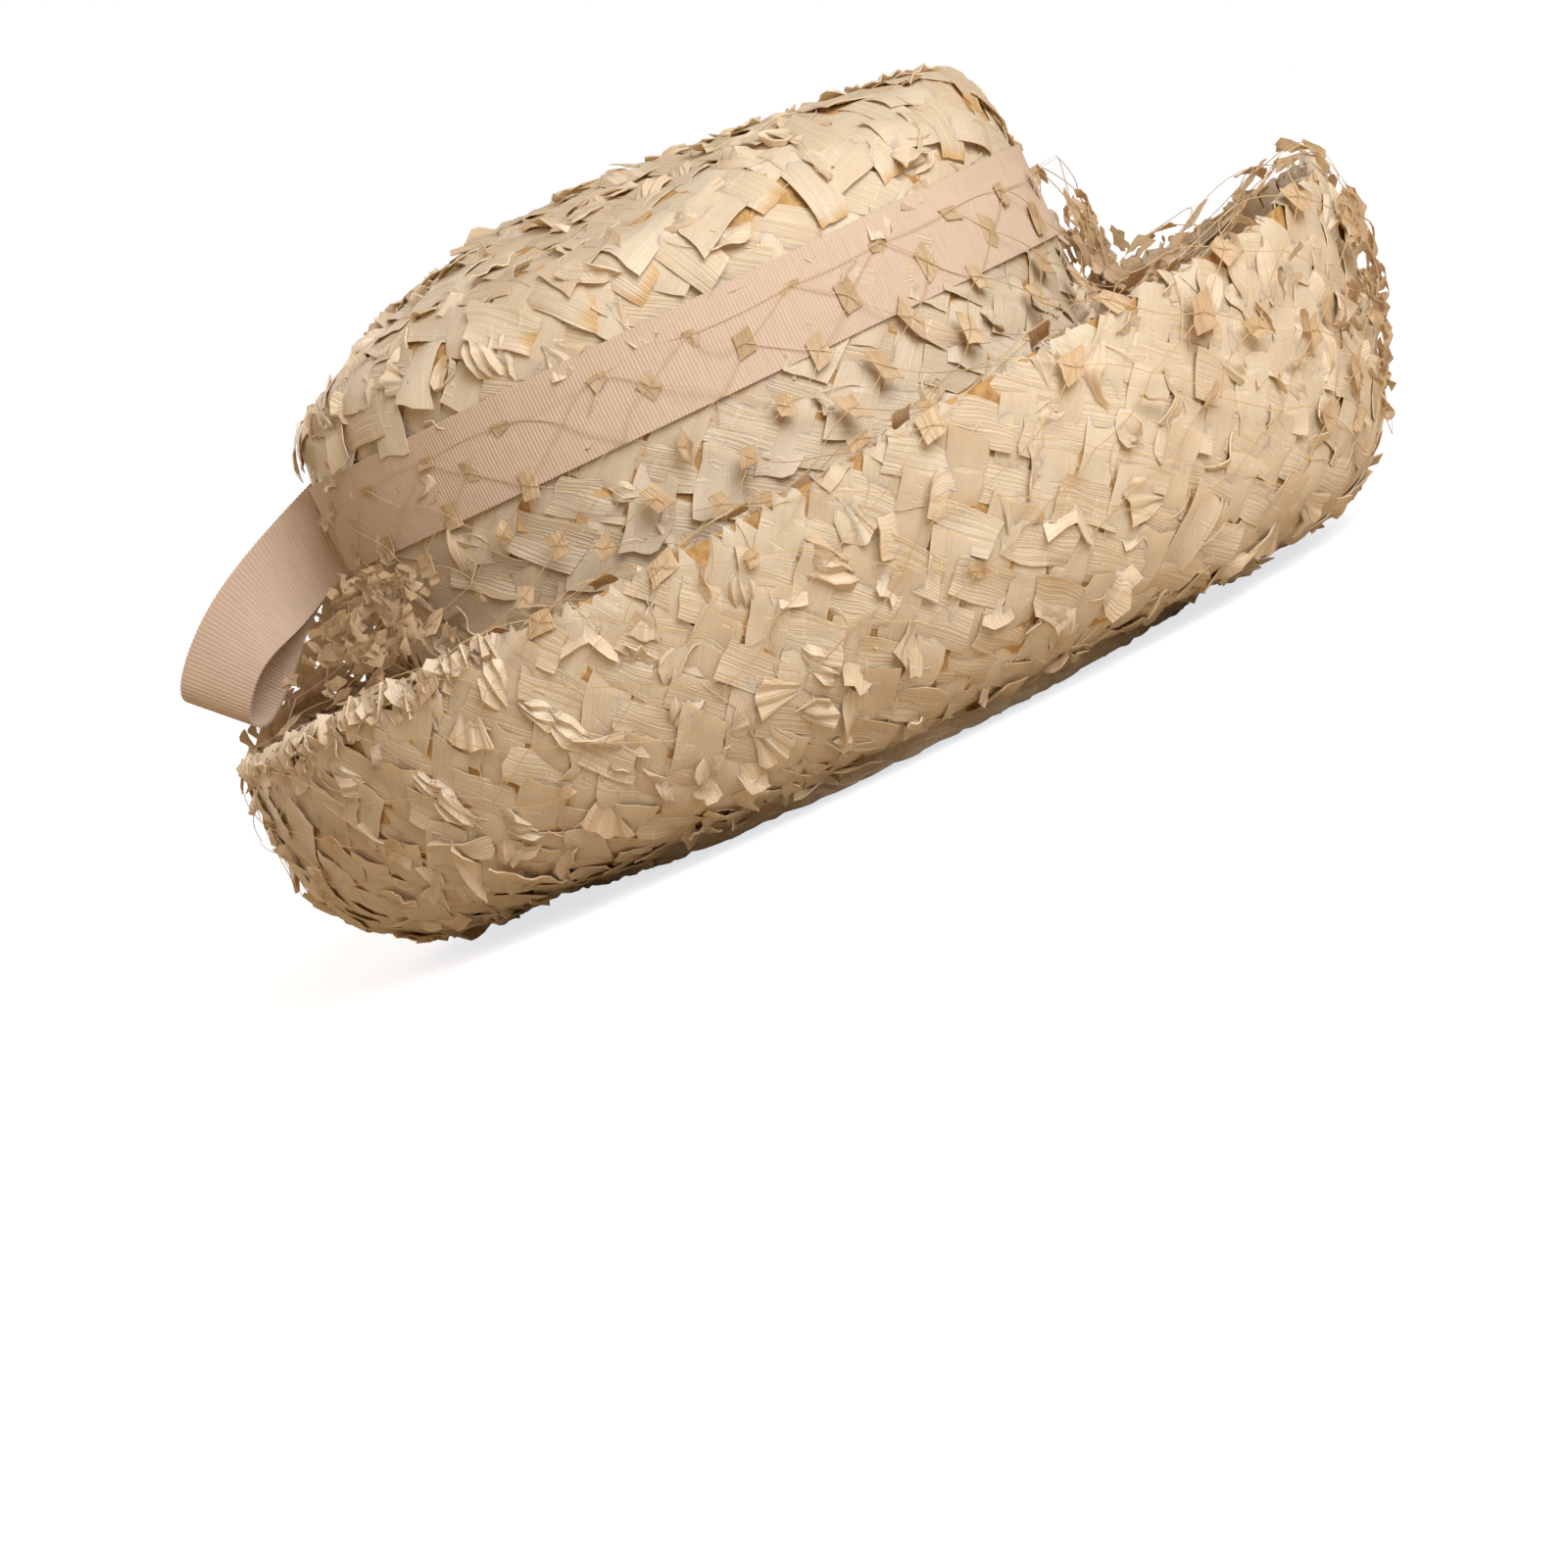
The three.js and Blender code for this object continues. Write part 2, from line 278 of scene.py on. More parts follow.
# Soft dents of the crown: how many go round it, where they start, how they turn on the way up.
Dent = namedtuple("Dent", "waves phase drift size")
CROWN_DENTS = (Dent(3, 0.5, 1, 1), Dent(5, 1.7, -1.6, 0.8), Dent(8, 0.9, 2.1, 0.7))


def crown_wall():
    """The crown's skin: way 0 is under the lip, the outside is above it and the inside below."""
    turn = Wall.turns()[:, None]
    top = len(CROWN_ROWS) - 1
    along = np.linspace(0.01, top - 0.004, 260)[None]
    dents = 0
    for dent in CROWN_DENTS:
        dents = dents + dent.size * np.sin(dent.waves * turn + dent.phase + dent.drift * along)
    # The dents grow from the ribbon upwards and fade out towards the middle of the top.
    upper = np.clip((along - 4.5) / 3, 0, 1) * np.clip((top - along) / 4, 0, 1)
    outside = crown_off(along, turn, -SINK + dents * (0.15 + 0.75 * upper))
    inside = crown_off(along, turn, SINK - WALL + dents * 0.6 * upper)
    for side in (outside, inside):
        side[..., 2] = np.maximum(side[..., 2], FOOT)
    middle = (outside[:, :1] + inside[:, :1]) / 2
    return Wall(np.concatenate([inside[:, ::-1], middle, outside], axis=1), inside.shape[1])


def brim_wall():
    """The brim's skin: way 0 is its edge, the outside is below that and the inside above."""
    turn = Wall.turns()[:, None]
    along = np.linspace(0, 1, 120)[None]
    half = WALL / 2 - 0.9
    outside = brim_point(along, turn, half)
    inside = brim_point(along, turn, -half)
    edge = brim_point(1, turn, 0) + [0, 0, 0.5]
    return Wall(np.concatenate([outside, edge, inside[:, ::-1]], axis=1), outside.shape[1])


# The veil's line comes down the crown, over the brim's edge and down the outside of the brim. Each
# row tells how far the net stands off, in millimetres, and what the front, the bunch and the back
# of the hat add. On the brim a place is a share of the way out, and slips down at the front.
CrownKnot = namedtuple("CrownKnot", "height off front bunch back")
CROWN_KNOTS = (
    CrownKnot(BAND_FOOT + 0.76 * BAND_WIDTH, 1.8, 0, 10, 0),
    CrownKnot(BAND_FOOT - 2, 3.0, 0, 11, 0),
    CrownKnot(86, 7, 3, 4, 9),
)
BrimKnot = namedtuple("BrimKnot", "along slip off front")
BRIM_KNOTS = (
    BrimKnot(0.96, 0, 4.6, 2.2),
    BrimKnot(0.84, 0, 4.3, 2.2),
    BrimKnot(0.66, 0.12, 3.8, 1.4),
)

# The net is bunched near the front, at this turn in radians and over this width in degrees.
BUNCH_TURN = 0.2
BUNCH_WIDE = 22


def veil_skin():
    """The veil's sheet: way 0 is its upper border on the ribbon."""
    turn = Wall.turns()
    front = np.maximum(0, np.cos(turn))
    aside = np.degrees(np.arctan2(np.sin(turn - BUNCH_TURN), np.cos(turn - BUNCH_TURN)))
    bunch = np.exp(-((aside / BUNCH_WIDE) ** 2))
    back = np.maximum(0, -np.cos(turn)) ** 4
    on_crown = []
    for knot in CROWN_KNOTS:
        off = knot.off + knot.front * front + knot.bunch * bunch + knot.back * back
        on_crown.append(over_crown(knot.height, turn, off))
    leaving = on_crown[-1]
    leaving[:, 2] += 6 * back
    edge = brim_point(1, turn, 0)
    trough = (leaving + edge) / 2
    trough[:, 2] = edge[:, 2] - 5 + 18 * back
    over_edge = edge + np.stack([0 * turn, 0 * turn, 3.6 + 2.4 * front], axis=-1)
    on_brim = []
    for knot in BRIM_KNOTS:
        off = knot.off + knot.front * front
        on_brim.append(brim_point(knot.along - knot.slip * front, turn, off))
    knots = np.stack([*on_crown, trough, over_edge, *on_brim], axis=1)
    lines = []
    for line in knots:
        chord = np.sqrt(np.linalg.norm(np.diff(line, axis=0), axis=1))
        places = np.concatenate([[0], np.cumsum(chord)])
        lines.append(read_table(line, places, np.linspace(0, places[-1], 160)))
    return Wall(np.array(lines), 0)


# A strip's mesh with its flat places and its half sizes, and the share of crumples it makes up.
Shape = namedtuple("Shape", "points flat faces long wide")
Crumple = namedtuple("Crumple", "share shape")


def make_strip(long, wide, steps, lanes, thick, bend):
    """A bent strip with a thickness, lying along X. Bend takes places from -1 to 1."""
    bm = bmesh.new()
    bmesh.ops.create_grid(bm, x_segments=steps, y_segments=lanes, size=1)
    flat = bm.verts.layers.float_vector.new("flat")
    for vert in bm.verts:
        s, t = vert.co.x, vert.co.y
        vert[flat] = (s, t, 0)
        vert.co = bend(s, t)
    bmesh.ops.recalc_face_normals(bm, faces=bm.faces)
    bmesh.ops.solidify(bm, geom=bm.faces[:], thickness=thick)
    bmesh.ops.recalc_face_normals(bm, faces=bm.faces)
    bm.verts.index_update()
    points = np.array([vert.co[:] for vert in bm.verts])
    places = np.array([vert[flat][:2] for vert in bm.verts])
    faces = np.array([[vert.index for vert in face.verts] for face in bm.faces])
    bm.free()
    return Shape(points, places, faces, long, wide)


# Half the length and half the width of a flat straw in the weave, in millimetres.
CHIP_LONG = 8.6
CHIP_WIDE = 4.9


def woven_chip(thick, steps, lanes):
    """One float of the weave, whose ends dip under its neighbours."""

    def bend(s, t):
        high = 1.05 * (1 - abs(s) ** 3) - 0.5
        wide = t * CHIP_WIDE * (1 - 0.04 * s * s)
        return (s * CHIP_LONG, wide, high + 0.2 * (1 - t * t))

    return make_strip(CHIP_LONG, CHIP_WIDE, steps, lanes, thick, bend)


def crumple_shapes(thick):
    """Folded, pleated and curled ends of straw."""

    def pad(s, t):
        pleat = 0.4 * math.cos(t * 3 * math.pi) * (1 + 0.5 * math.sin(4 * t + 2 * s))
        return (4.2 * s + 0.9 * t, t * (2.9 - 0.7 * s), 2.0 - 1.9 * s * s - 0.6 * t * t + pleat)

    def fan(s, t):
        open_share = (s + 1) / 2
        pleat = 0.36 * math.cos(t * 2.5 * math.pi + 0.5) * (0.2 + open_share)
        wide = t * (1.0 + 2.9 * open_share)
        return (s * 3.9 - 1.2 * open_share * t * t, wide, 0.5 + 1.6 * open_share + pleat)

    def ring(s, t):
        angle = s * math.radians(165)
        reach = 2.6 + 0.5 * math.cos(3 * angle) + 0.6 * t
        return (reach * math.cos(angle), 0.8 * reach * math.sin(angle), 1.3 + 1.2 * t)

    def bow(s, t):
        pinch = 0.5 + 2.0 * abs(s) ** 0.8
        pleat = 0.4 * math.cos(t * 2 * math.pi) * abs(s)
        return (s * 5.4, t * pinch + 0.8 * s * s, 1.4 + pleat + 0.5 * s)

    def flap(s, t):
        open_share = (s + 1) / 2
        high = 0.1 + 2.8 * open_share**1.6 - 0.5 * t * t
        return (s * 3.5 - 1.4 * open_share**2, t * (3.2 - 0.5 * s), high)

    def bent(s, t):
        return (s * 4.6, 3.0 * abs(s) - 1.3 + 1.4 * t, 1.4 - 0.4 * abs(s) + 0.8 * t)

    def twisted(s, t):
        angle = math.radians(80) * s + 0.5
        return (s * 5.6, 2.2 * t * math.cos(angle) + 0.9 * s * s, 1.5 + 1.5 * t * math.sin(angle))

    return [
        Crumple(0.19, make_strip(4.6, 2.9, 4, 6, thick, pad)),
        Crumple(0.16, make_strip(3.9, 3.4, 2, 10, thick, fan)),
        Crumple(0.03, make_strip(8.0, 1.3, 10, 1, thick, ring)),
        Crumple(0.11, make_strip(5.2, 2.0, 4, 6, thick, bow)),
        Crumple(0.22, make_strip(3.3, 3.0, 4, 3, thick, flap)),
        Crumple(0.12, make_strip(5.5, 1.3, 6, 1, thick, bent)),
        Crumple(0.17, make_strip(5.6, 2.2, 6, 2, thick, twisted)),
    ]


def straight_strand(thick):
    """A thin strand of straw or thread, one unit long to each side."""

    def bend(s, t):
        return (s, t * thick / 2, 0)

    return make_strip(1, thick / 2, 6, 1, thick, bend)


class Heap:
    """Many small strips, gathered to be joined in one mesh."""

    def __init__(self):
        self.points = []
        self.faces = []
        self.fibres = []
        self.depths = []
        self.count = 0

    def lay(self, shape, chart, **spots):
        """Lays one copy of a shape at each spot of a flat chart, bent to the skin under it.

        Centre and angle place it on the chart, length, width and high scale it, tone and seed go to
        its fibres, and the other values lift, shear or bend it.
        """
        n = len(spots["centre"])
        if not n:
            return
        zero = np.zeros(n)

        def of(name, other=zero):
            return np.asarray(spots.get(name, other), float)[:, None]

        s = shape.flat[None, :, 0]
        t = shape.flat[None, :, 1]
        corner = np.clip(of("corner_s") * s + of("corner_t") * t - 0.75, 0, 2) ** 1.3
        x = shape.points[None, :, 0] * of("length", zero + 1)
        x = x + of("slant") * t + of("ragged") * s * t - 0.9 * of("fold") * of("corner_s") * corner
        y = shape.points[None, :, 1] * of("width", zero + 1) * (1 + of("taper") * s)
        y = y + of("bow") * (1 - s * s) - 0.9 * of("fold") * of("corner_t") * corner
        z = shape.points[None, :, 2] * of("high", zero + 1) + of("rise") + of("fold") * corner
        z = z + of("lift") * np.clip(s, 0, 1) ** 1.5 + of("drop") * np.clip(-s, 0, 1) ** 1.5
        z = z + of("twist") * s * t + of("curl") * t * t + of("arch") * (1 - s * s)
        crease = of("crinkle")
        phase = 40 * of("seed")
        x = x + crease * np.sin(4.3 * t + 2.1 * s + 3 * phase)
        y = y + crease * np.sin(3.7 * s - 2.6 * t + 5 * phase)
        wrinkle = np.sin(3.9 * s + 2.7 * t + phase)
        z = z + crease * (wrinkle + 0.7 * np.sin(4.6 * t - 3.1 * s + 2 * phase))
        cos = np.cos(of("angle"))
        sin = np.sin(of("angle"))
        across = spots["centre"][:, :1] + cos * x - sin * y
        up = spots["centre"][:, 1:] + sin * x + cos * y
        point, normal = chart(across, up)
        places = point + normal * z[..., None]
        low = places[..., 2]
        places[..., 2] = np.where(low < 1, np.exp(np.minimum(low, 1) - 1), low)
        k = len(shape.points)
        faces = shape.faces[None] + (np.arange(n) * k)[:, None, None] + self.count
        seed = of("seed")
        way_along = s * shape.long + 37 * seed
        way_across = t * shape.wide + 91 * seed
        fibre = np.stack([way_along, way_across, of("tone") + 0 * s], -1)
        self.points.append(places.reshape(-1, 3))
        self.faces.append(faces.reshape(-1, 4))
        self.fibres.append(fibre.reshape(-1, 3))
        self.depths.append(np.clip((z + 0.6) / 1.7, 0, 1).ravel())
        self.count += n * k

    def mesh(self, name):
        """The joined mesh, in metres, with the way of its fibres and its depth kept on it."""
        points = np.concatenate(self.points) * MM
        faces = np.concatenate(self.faces)
        mesh = bpy.data.meshes.new(name)
        mesh.vertices.add(len(points))
        mesh.vertices.foreach_set("co", points.ravel())
        mesh.loops.add(faces.size)
        mesh.loops.foreach_set("vertex_index", faces.ravel())
        mesh.polygons.add(len(faces))
        mesh.polygons.foreach_set("loop_start", np.arange(len(faces)) * 4)
        mesh.update(calc_edges=True)
        mesh.validate()
        fibre = mesh.attributes.new("fibre", "FLOAT_VECTOR", "POINT")
        fibre.data.foreach_set("vector", np.concatenate(self.fibres).ravel())
        depth = mesh.attributes.new("depth", "FLOAT", "POINT")
        depth.data.foreach_set("value", np.concatenate(self.depths))
        mesh.shade_smooth()
        mesh.set_sharp_from_angle(angle=math.radians(58))
        return mesh


def add_piece(mesh, material, slot, *nodes):
    """Adds a piece at the origin that rides on the hat and stands for its solids."""
    piece = bpy.data.objects.new(mesh.name, mesh)
    bpy.context.scene.collection.objects.link(piece)
    mesh.materials.append(material)
    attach(piece, "root")
    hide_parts(*nodes)
    return piece


def grid_mesh(name, across, along, place, flat_place=None, thick=0.0, weld=True):
    """A grid of faces laid where place says, with its seams welded, and given a thickness."""
    bm = bmesh.new()
    bmesh.ops.create_grid(bm, x_segments=across, y_segments=along, size=1)
    shares = np.array([((v.co.x + 1) / 2, (v.co.y + 1) / 2) for v in bm.verts])
    points = place(shares[:, 0], shares[:, 1]) * MM
    fibre = bm.verts.layers.float_vector.new("fibre")
    kept = flat_place(shares[:, 0], shares[:, 1]) if flat_place else np.zeros((len(points), 3))
    for vert, point, way in zip(bm.verts, points, kept):
        vert.co = point
        vert[fibre] = way
    if weld:
        bmesh.ops.remove_doubles(bm, verts=bm.verts, dist=1e-6)
    bmesh.ops.recalc_face_normals(bm, faces=bm.faces)
    if thick:
        bmesh.ops.solidify(bm, geom=bm.faces[:], thickness=thick * MM)
    mesh = bpy.data.meshes.new(name)
    bm.to_mesh(mesh)
    bm.free()
    mesh.shade_smooth()
    mesh.set_sharp_from_angle(angle=math.radians(48))
    return mesh


# A kit holds the straws that a weave is laid from, and the share of its crossings that is crumpled.
Kit = namedtuple("Kit", "cell chip crumples strand crumpled")

# The brim is laid flat as a part of a ring: its outer radius in millimetres, angle and stretch.
BRIM_OUTER = 880.0
BRIM_SECTOR = math.radians(60)
BRIM_STRETCH = 1.12

# Each weave: how far it reaches, its bias, the shares and sizes of its loose ends, and its fibres.
Weave = namedtuple(
    "Weave", "reach angle lifted lift_to folded crumpled crumple_size upper seed fibres"
)
SIDE_BIAS = math.radians(50)
TOP_BIAS = math.radians(35)
BRIM_BIAS = -BRIM_SECTOR / 4 + math.radians(40)
CROWN_SIDE = Weave(320, SIDE_BIAS, 0.6, 2.4, 0.14, 0.8, 1.4, False, 11, 320)
CROWN_TOP = Weave(140, TOP_BIAS, 0.6, 2.8, 0.18, 0.95, 1.45, False, 21, 150)
CROWN_INSIDE = Weave(320, SIDE_BIAS, 0.05, 0.6, 0, 0, 1, False, 31, 0)
CROWN_CEILING = Weave(140, TOP_BIAS, 0.05, 0.6, 0, 0, 1, False, 41, 0)
BRIM_OUTSIDE = Weave(BRIM_OUTER, BRIM_BIAS, 0.6, 2.7, 0.12, 1, 1.45, True, 51, 320)
BRIM_INSIDE = Weave(BRIM_OUTER, BRIM_BIAS, 0.45, 1.9, 0.12, 0.8, 1.25, True, 61, 0)


def weave_straw(heap, chart, keep, weave, kit):
    """Lays a plain weave of flat straws, with lifted ends and crumples at the crossings."""
    rng = np.random.default_rng(weave.seed)
    count = math.ceil(weave.reach / kit.cell * 1.45)
    steps = np.arange(-count, count)
    i, j = (part.ravel() for part in np.meshgrid(steps, steps))
    cos, sin = math.cos(weave.angle), math.sin(weave.angle)
    turned = np.array([[cos, sin], [-sin, cos]])
    centre = (np.stack([i, j], axis=-1) + 0.5) * kit.cell @ turned
    crossing = np.stack([i, j], axis=-1) * kit.cell @ turned
    inside = keep(centre[:, 0], centre[:, 1])
    odd = ((i + j) % 2 == 1)[inside]
    centre = centre[inside]
    n = len(centre)
    size = kit.cell / 10
    loose = rng.random(n) < weave.lifted
    ends = np.where(loose, rng.uniform(0.5, 1, n) * weave.lift_to, 0)
    upper = np.where(odd, rng.random(n) < 0.5, weave.upper)
    tone = rng.beta(2.2, 2.2, n)
    heap.lay(
        kit.chip,
        chart,
        centre=centre + rng.normal(0, 0.035 * kit.cell, (n, 2)),
        angle=weave.angle + np.where(odd, math.pi / 2, 0) + rng.normal(0, 0.07, n),
        length=size * rng.uniform(0.92, 1.06, n),
        width=size * rng.uniform(0.86, 1.04, n),
        taper=rng.normal(0, 0.05, n),
        bow=rng.normal(0, 0.25, n),
        rise=rng.normal(0, 0.1, n) + np.where(odd, -0.12, 0.08),
        lift=np.where(upper, ends, 0),
        drop=np.where(upper, 0, ends),
        twist=rng.normal(0, 0.25, n) * np.where(loose, 2, 1),
        curl=rng.normal(0.05, 0.3, n) * np.where(loose, 1.6, 1),
        slant=rng.normal(0, 0.45, n),
        ragged=rng.normal(0, 0.7, n),
        crinkle=rng.uniform(0.08, 0.3, n) * np.where(loose, 1.5, 1),
        fold=np.where(rng.random(n) < weave.folded, rng.uniform(0.5, 1.3, n), 0),
        corner_s=rng.choice([-1, 1], n),
        corner_t=rng.choice([-1, 1], n),
        tone=tone * 0.98 + odd,
        seed=rng.random(n),
    )
    crossing = crossing[keep(crossing[:, 0], crossing[:, 1])]
    kind = rng.random(len(crossing))
    chosen = rng.random(len(crossing)) < weave.crumpled * kit.crumpled
    passed = 0.0
    for crumple in kit.crumples:
        spots = crossing[chosen & (kind >= passed) & (kind < passed + crumple.share)]
        passed += crumple.share
        n = len(spots)
        scale = weave.crumple_size * rng.uniform(0.7, 1.1, n)
        heap.lay(
            crumple.shape,
            chart,
            centre=spots + rng.normal(0, 0.1 * kit.cell, (n, 2)),
            angle=weave.angle + rng.integers(0, 4, n) * math.pi / 2 + rng.normal(0, 0.5, n),
            length=scale,
            width=scale * rng.uniform(0.8, 1.15, n),
            slant=rng.normal(0, 0.9, n),
            taper=rng.normal(0, 0.18, n),
            high=scale * rng.uniform(0.8, 1.2, n),
            rise=np.full(n, -0.15),
            twist=rng.normal(0, 0.35, n),
            crinkle=rng.uniform(0.3, 0.75, n),
            tone=rng.beta(3.5, 2, n) * 0.98 + 1,
            seed=rng.random(n),
        )


def loose_fibres(heap, chart, keep, box, weave, kit):
    """Fine curved fibres that have come away from the weave, most of them along its straws."""
    rng = np.random.default_rng(weave.seed + 1)
    centre = np.stack([rng.uniform(low, high, 4 * weave.fibres) for low, high in box], axis=-1)
    centre = centre[keep(centre[:, 0], centre[:, 1])][: weave.fibres]
    n = len(centre)
    heap.lay(
        kit.strand,
        chart,
        centre=centre,
        angle=weave.angle + rng.choice([0, math.pi / 2], n) + rng.normal(0, 0.35, n),
        length=rng.uniform(2, 6, n),
        bow=rng.normal(0, 1.0, n),
        rise=rng.uniform(0.5, 1.1, n),
        arch=rng.uniform(0, 1.2, n),
        lift=rng.uniform(0, 1.4, n),
        tone=rng.uniform(0.2, 0.8, n),
        seed=rng.random(n),
    )


def feed(tree, made, inputs):
    """Fills inputs of a node, by name or place, from values or from other nodes' outputs."""
    for name, value in inputs.items():
        if isinstance(value, bpy.types.NodeSocket):
            tree.links.new(value, made.inputs[name])
        else:
            made.inputs[name].default_value = value


def node(tree, kind, inputs, **settings):
    made = tree.nodes.new(kind)
    for name, value in settings.items():
        setattr(made, name, value)
    feed(tree, made, inputs)
    return made


def math_node(tree, operation, *values, clamp=False):
    inputs = dict(enumerate(values))
    made = node(tree, "ShaderNodeMath", inputs, operation=operation, use_clamp=clamp)
    return made.outputs[0]


def mix_colours(tree, share, first, second):
    """Mixes two colours. The places are those that a mix node keeps for colours."""
    inputs = {0: share, 6: first, 7: second}
    return node(tree, "ShaderNodeMix", inputs, data_type="RGBA").outputs[2]


def spread(tree, value, low, high, to_low=0.0, to_high=1.0):
    """Spreads a value smoothly from one range to another."""
    ends = {"From Min": low, "From Max": high, "To Min": to_low, "To Max": to_high}
    made = node(tree, "ShaderNodeMapRange", ends, interpolation_type="SMOOTHSTEP")
    feed(tree, made, {"Value": value})
    return made.outputs["Result"]


def noise(tree, place, scale, detail, roughness):
    inputs = {"Vector": place, "Scale": scale, "Detail": detail, "Roughness": roughness}
    return node(tree, "ShaderNodeTexNoise", inputs).outputs["Fac"]


def bump(tree, height, strength, distance):
    inputs = {"Height": height, "Strength": strength, "Distance": distance}
    return node(tree, "ShaderNodeBump", inputs).outputs["Normal"]


def fibre_parts(tree):
    """The way along a strip, the way across it, and the third value that its mesh keeps."""
    fibre = node(tree, "ShaderNodeAttribute", {}, attribute_name="fibre")
    return node(tree, "ShaderNodeSeparateXYZ", {"Vector": fibre.outputs["Vector"]}).outputs


def streaks(tree, x, y, along, across, detail):
    """Noise drawn out along a strip."""
    x = math_node(tree, "MULTIPLY", x, along)
    y = math_node(tree, "MULTIPLY", y, across)
    place = node(tree, "ShaderNodeCombineXYZ", {"X": x, "Y": y})
    return noise(tree, place.outputs[0], 1.0, detail, 0.6)


def straw_fibres():
    """The shared grain of dried straw: streaks along each strip, its tone, paler wrinkle lines that
    are a painted highlight, and a painted golden shade with a faint painted glow in the hollows.
    """
    found = bpy.data.node_groups.get("Straw fibres")
    if found:
        return found
    group = bpy.data.node_groups.new("Straw fibres", "ShaderNodeTree")
    for way, kind, names in (
        ("INPUT", "NodeSocketColor", ("Pale", "Shade", "Hollow shade")),
        ("OUTPUT", "NodeSocketColor", ("Colour", "Painted glow")),
        ("OUTPUT", "NodeSocketFloat", ("Height", "Roughness")),
    ):
        for name in names:
            group.interface.new_socket(name, in_out=way, socket_type=kind)
    pale, shade, hollow_shade = group.nodes.new("NodeGroupInput").outputs[:3]
    outlet = group.nodes.new("NodeGroupOutput")
    depth = node(group, "ShaderNodeAttribute", {}, attribute_name="depth")
    x, y, tone = fibre_parts(group)
    lined = math_node(group, "GREATER_THAN", tone, 1.0)
    tone = math_node(group, "FRACT", tone)
    broad = spread(group, streaks(group, x, y, 0.04, 0.5, 2), 0.3, 0.7)
    ribs = spread(group, streaks(group, x, y, 0.03, 1.9, 1), 0.36, 0.64)
    wrinkles_and_highlight = spread(group, streaks(group, x, y, 0.6, 0.1, 2), 0.6, 0.67)
    hair = spread(group, streaks(group, x, y, 0.12, 5.5, 3), 0.32, 0.68)
    strong = math_node(group, "MULTIPLY_ADD", lined, 0.65, 0.35)
    ribs = math_node(group, "MULTIPLY", ribs, strong)
    hair = math_node(group, "MULTIPLY", hair, 0.3)
    grain = math_node(group, "MULTIPLY_ADD", ribs, 0.7, hair)
    broad = math_node(group, "MULTIPLY", broad, 0.16)
    tint = math_node(group, "MULTIPLY_ADD", grain, 0.48, broad)
    # Painted highlight: the wrinkle lines are made paler, as well as raised in the height.
    tint = math_node(group, "MULTIPLY_ADD", wrinkles_and_highlight, -0.3, tint)
    aged = spread(group, tone, 0.0, 1.0, 0.3, -0.12)
    darker = math_node(group, "ADD", aged, tint, clamp=True)
    # Painted shade: straw low in the weave is mixed towards the golden hollow colour, and the same
    # colour makes a faint painted glow.
    hollow_shade_share = spread(group, depth.outputs["Fac"], 0.05, 0.55, 0.85, 0.0)
    outputs = {
        "Colour": mix_colours(group, hollow_shade_share, mix_colours(group, darker, pale, shade), hollow_shade),
        "Painted glow": mix_colours(group, hollow_shade_share, (0, 0, 0, 1), hollow_shade),
        "Height": math_node(group, "MULTIPLY_ADD", wrinkles_and_highlight, 0.6, grain),
        "Roughness": spread(group, grain, 0.0, 1.0, 0.3, 0.5),
    }
    feed(group, outlet, outputs)
    return group


def new_material(name):
    material = bpy.data.materials.new(name)
    material.use_nodes = True
    tree = material.node_tree
    return material, tree, tree.nodes["Principled BSDF"]


def straw_material(name, pale, shade, hollow_shade, strength=0.5):
    """Woven straw, a little of whose light comes through it, with a faint painted glow from its
    hollows.
    """
    material, tree, shader = new_material(name)
    colours = {"Pale": (*pale, 1), "Shade": (*shade, 1), "Hollow shade": (*hollow_shade, 1)}
    fibres = node(tree, "ShaderNodeGroup", {}, node_tree=straw_fibres())
    feed(tree, fibres, colours)
    looks = {
        "Base Color": fibres.outputs["Colour"],
        # Painted glow: the golden hollow colour is given out faintly as light.
        "Emission Color": fibres.outputs["Painted glow"],
        "Emission Strength": 0.13,
        "Roughness": fibres.outputs["Roughness"],
        "Normal": bump(tree, fibres.outputs["Height"], strength, 0.0004),
        "Specular IOR Level": 0.5,
        "Subsurface Weight": 0.3,
        "Subsurface Radius": (1.0, 0.6, 0.25),
        "Subsurface Scale": 0.0018,
    }
    feed(tree, shader, looks)
    return material


def ground_material(name, pale, deep_shade):
    """The plain layer of straw behind the weave, dark amber as a painted shade in the gaps of the
    weave.
    """
    material, tree, shader = new_material(name)
    place = node(tree, "ShaderNodeTexCoord", {})
    grain = noise(tree, place.outputs["Object"], 420.0, 4.0, 0.65)
    share = spread(tree, grain, 0.3, 0.7)
    looks = {
        "Base Color": mix_colours(tree, share, (*pale, 1), (*deep_shade, 1)),
        "Normal": bump(tree, grain, 0.4, 0.0006),
        "Roughness": 0.7,
    }
    feed(tree, shader, looks)
    return material


def ribbon_material(colour, deep_shade):
    """Corded ribbon: threads run along its ribs, and its grooves get a painted shade."""
    material, tree, shader = new_material("corded ribbon")
    x, y, groove_shade = fibre_parts(tree)
    patch = spread(tree, streaks(tree, x, y, 0.9, 0.12, 3), 0.3, 0.75, 0.0, 0.35)
    # Painted shade: the grooves between the ribs are coloured darker.
    groove_shade = math_node(tree, "MULTIPLY", groove_shade, 0.5)
    share = math_node(tree, "ADD", patch, groove_shade, clamp=True)
    threads = math_node(tree, "SINE", math_node(tree, "MULTIPLY", y, 17.0))
    looks = {
        "Base Color": mix_colours(tree, share, (*colour, 1), (*deep_shade, 1)),
        "Normal": bump(tree, threads, 0.15, 0.00008),
        "Roughness": 0.62,
        "Sheen Weight": 0.15,
        "Sheen Roughness": 0.4,
        "Specular IOR Level": 0.3,
    }
    feed(tree, shader, looks)
    return material


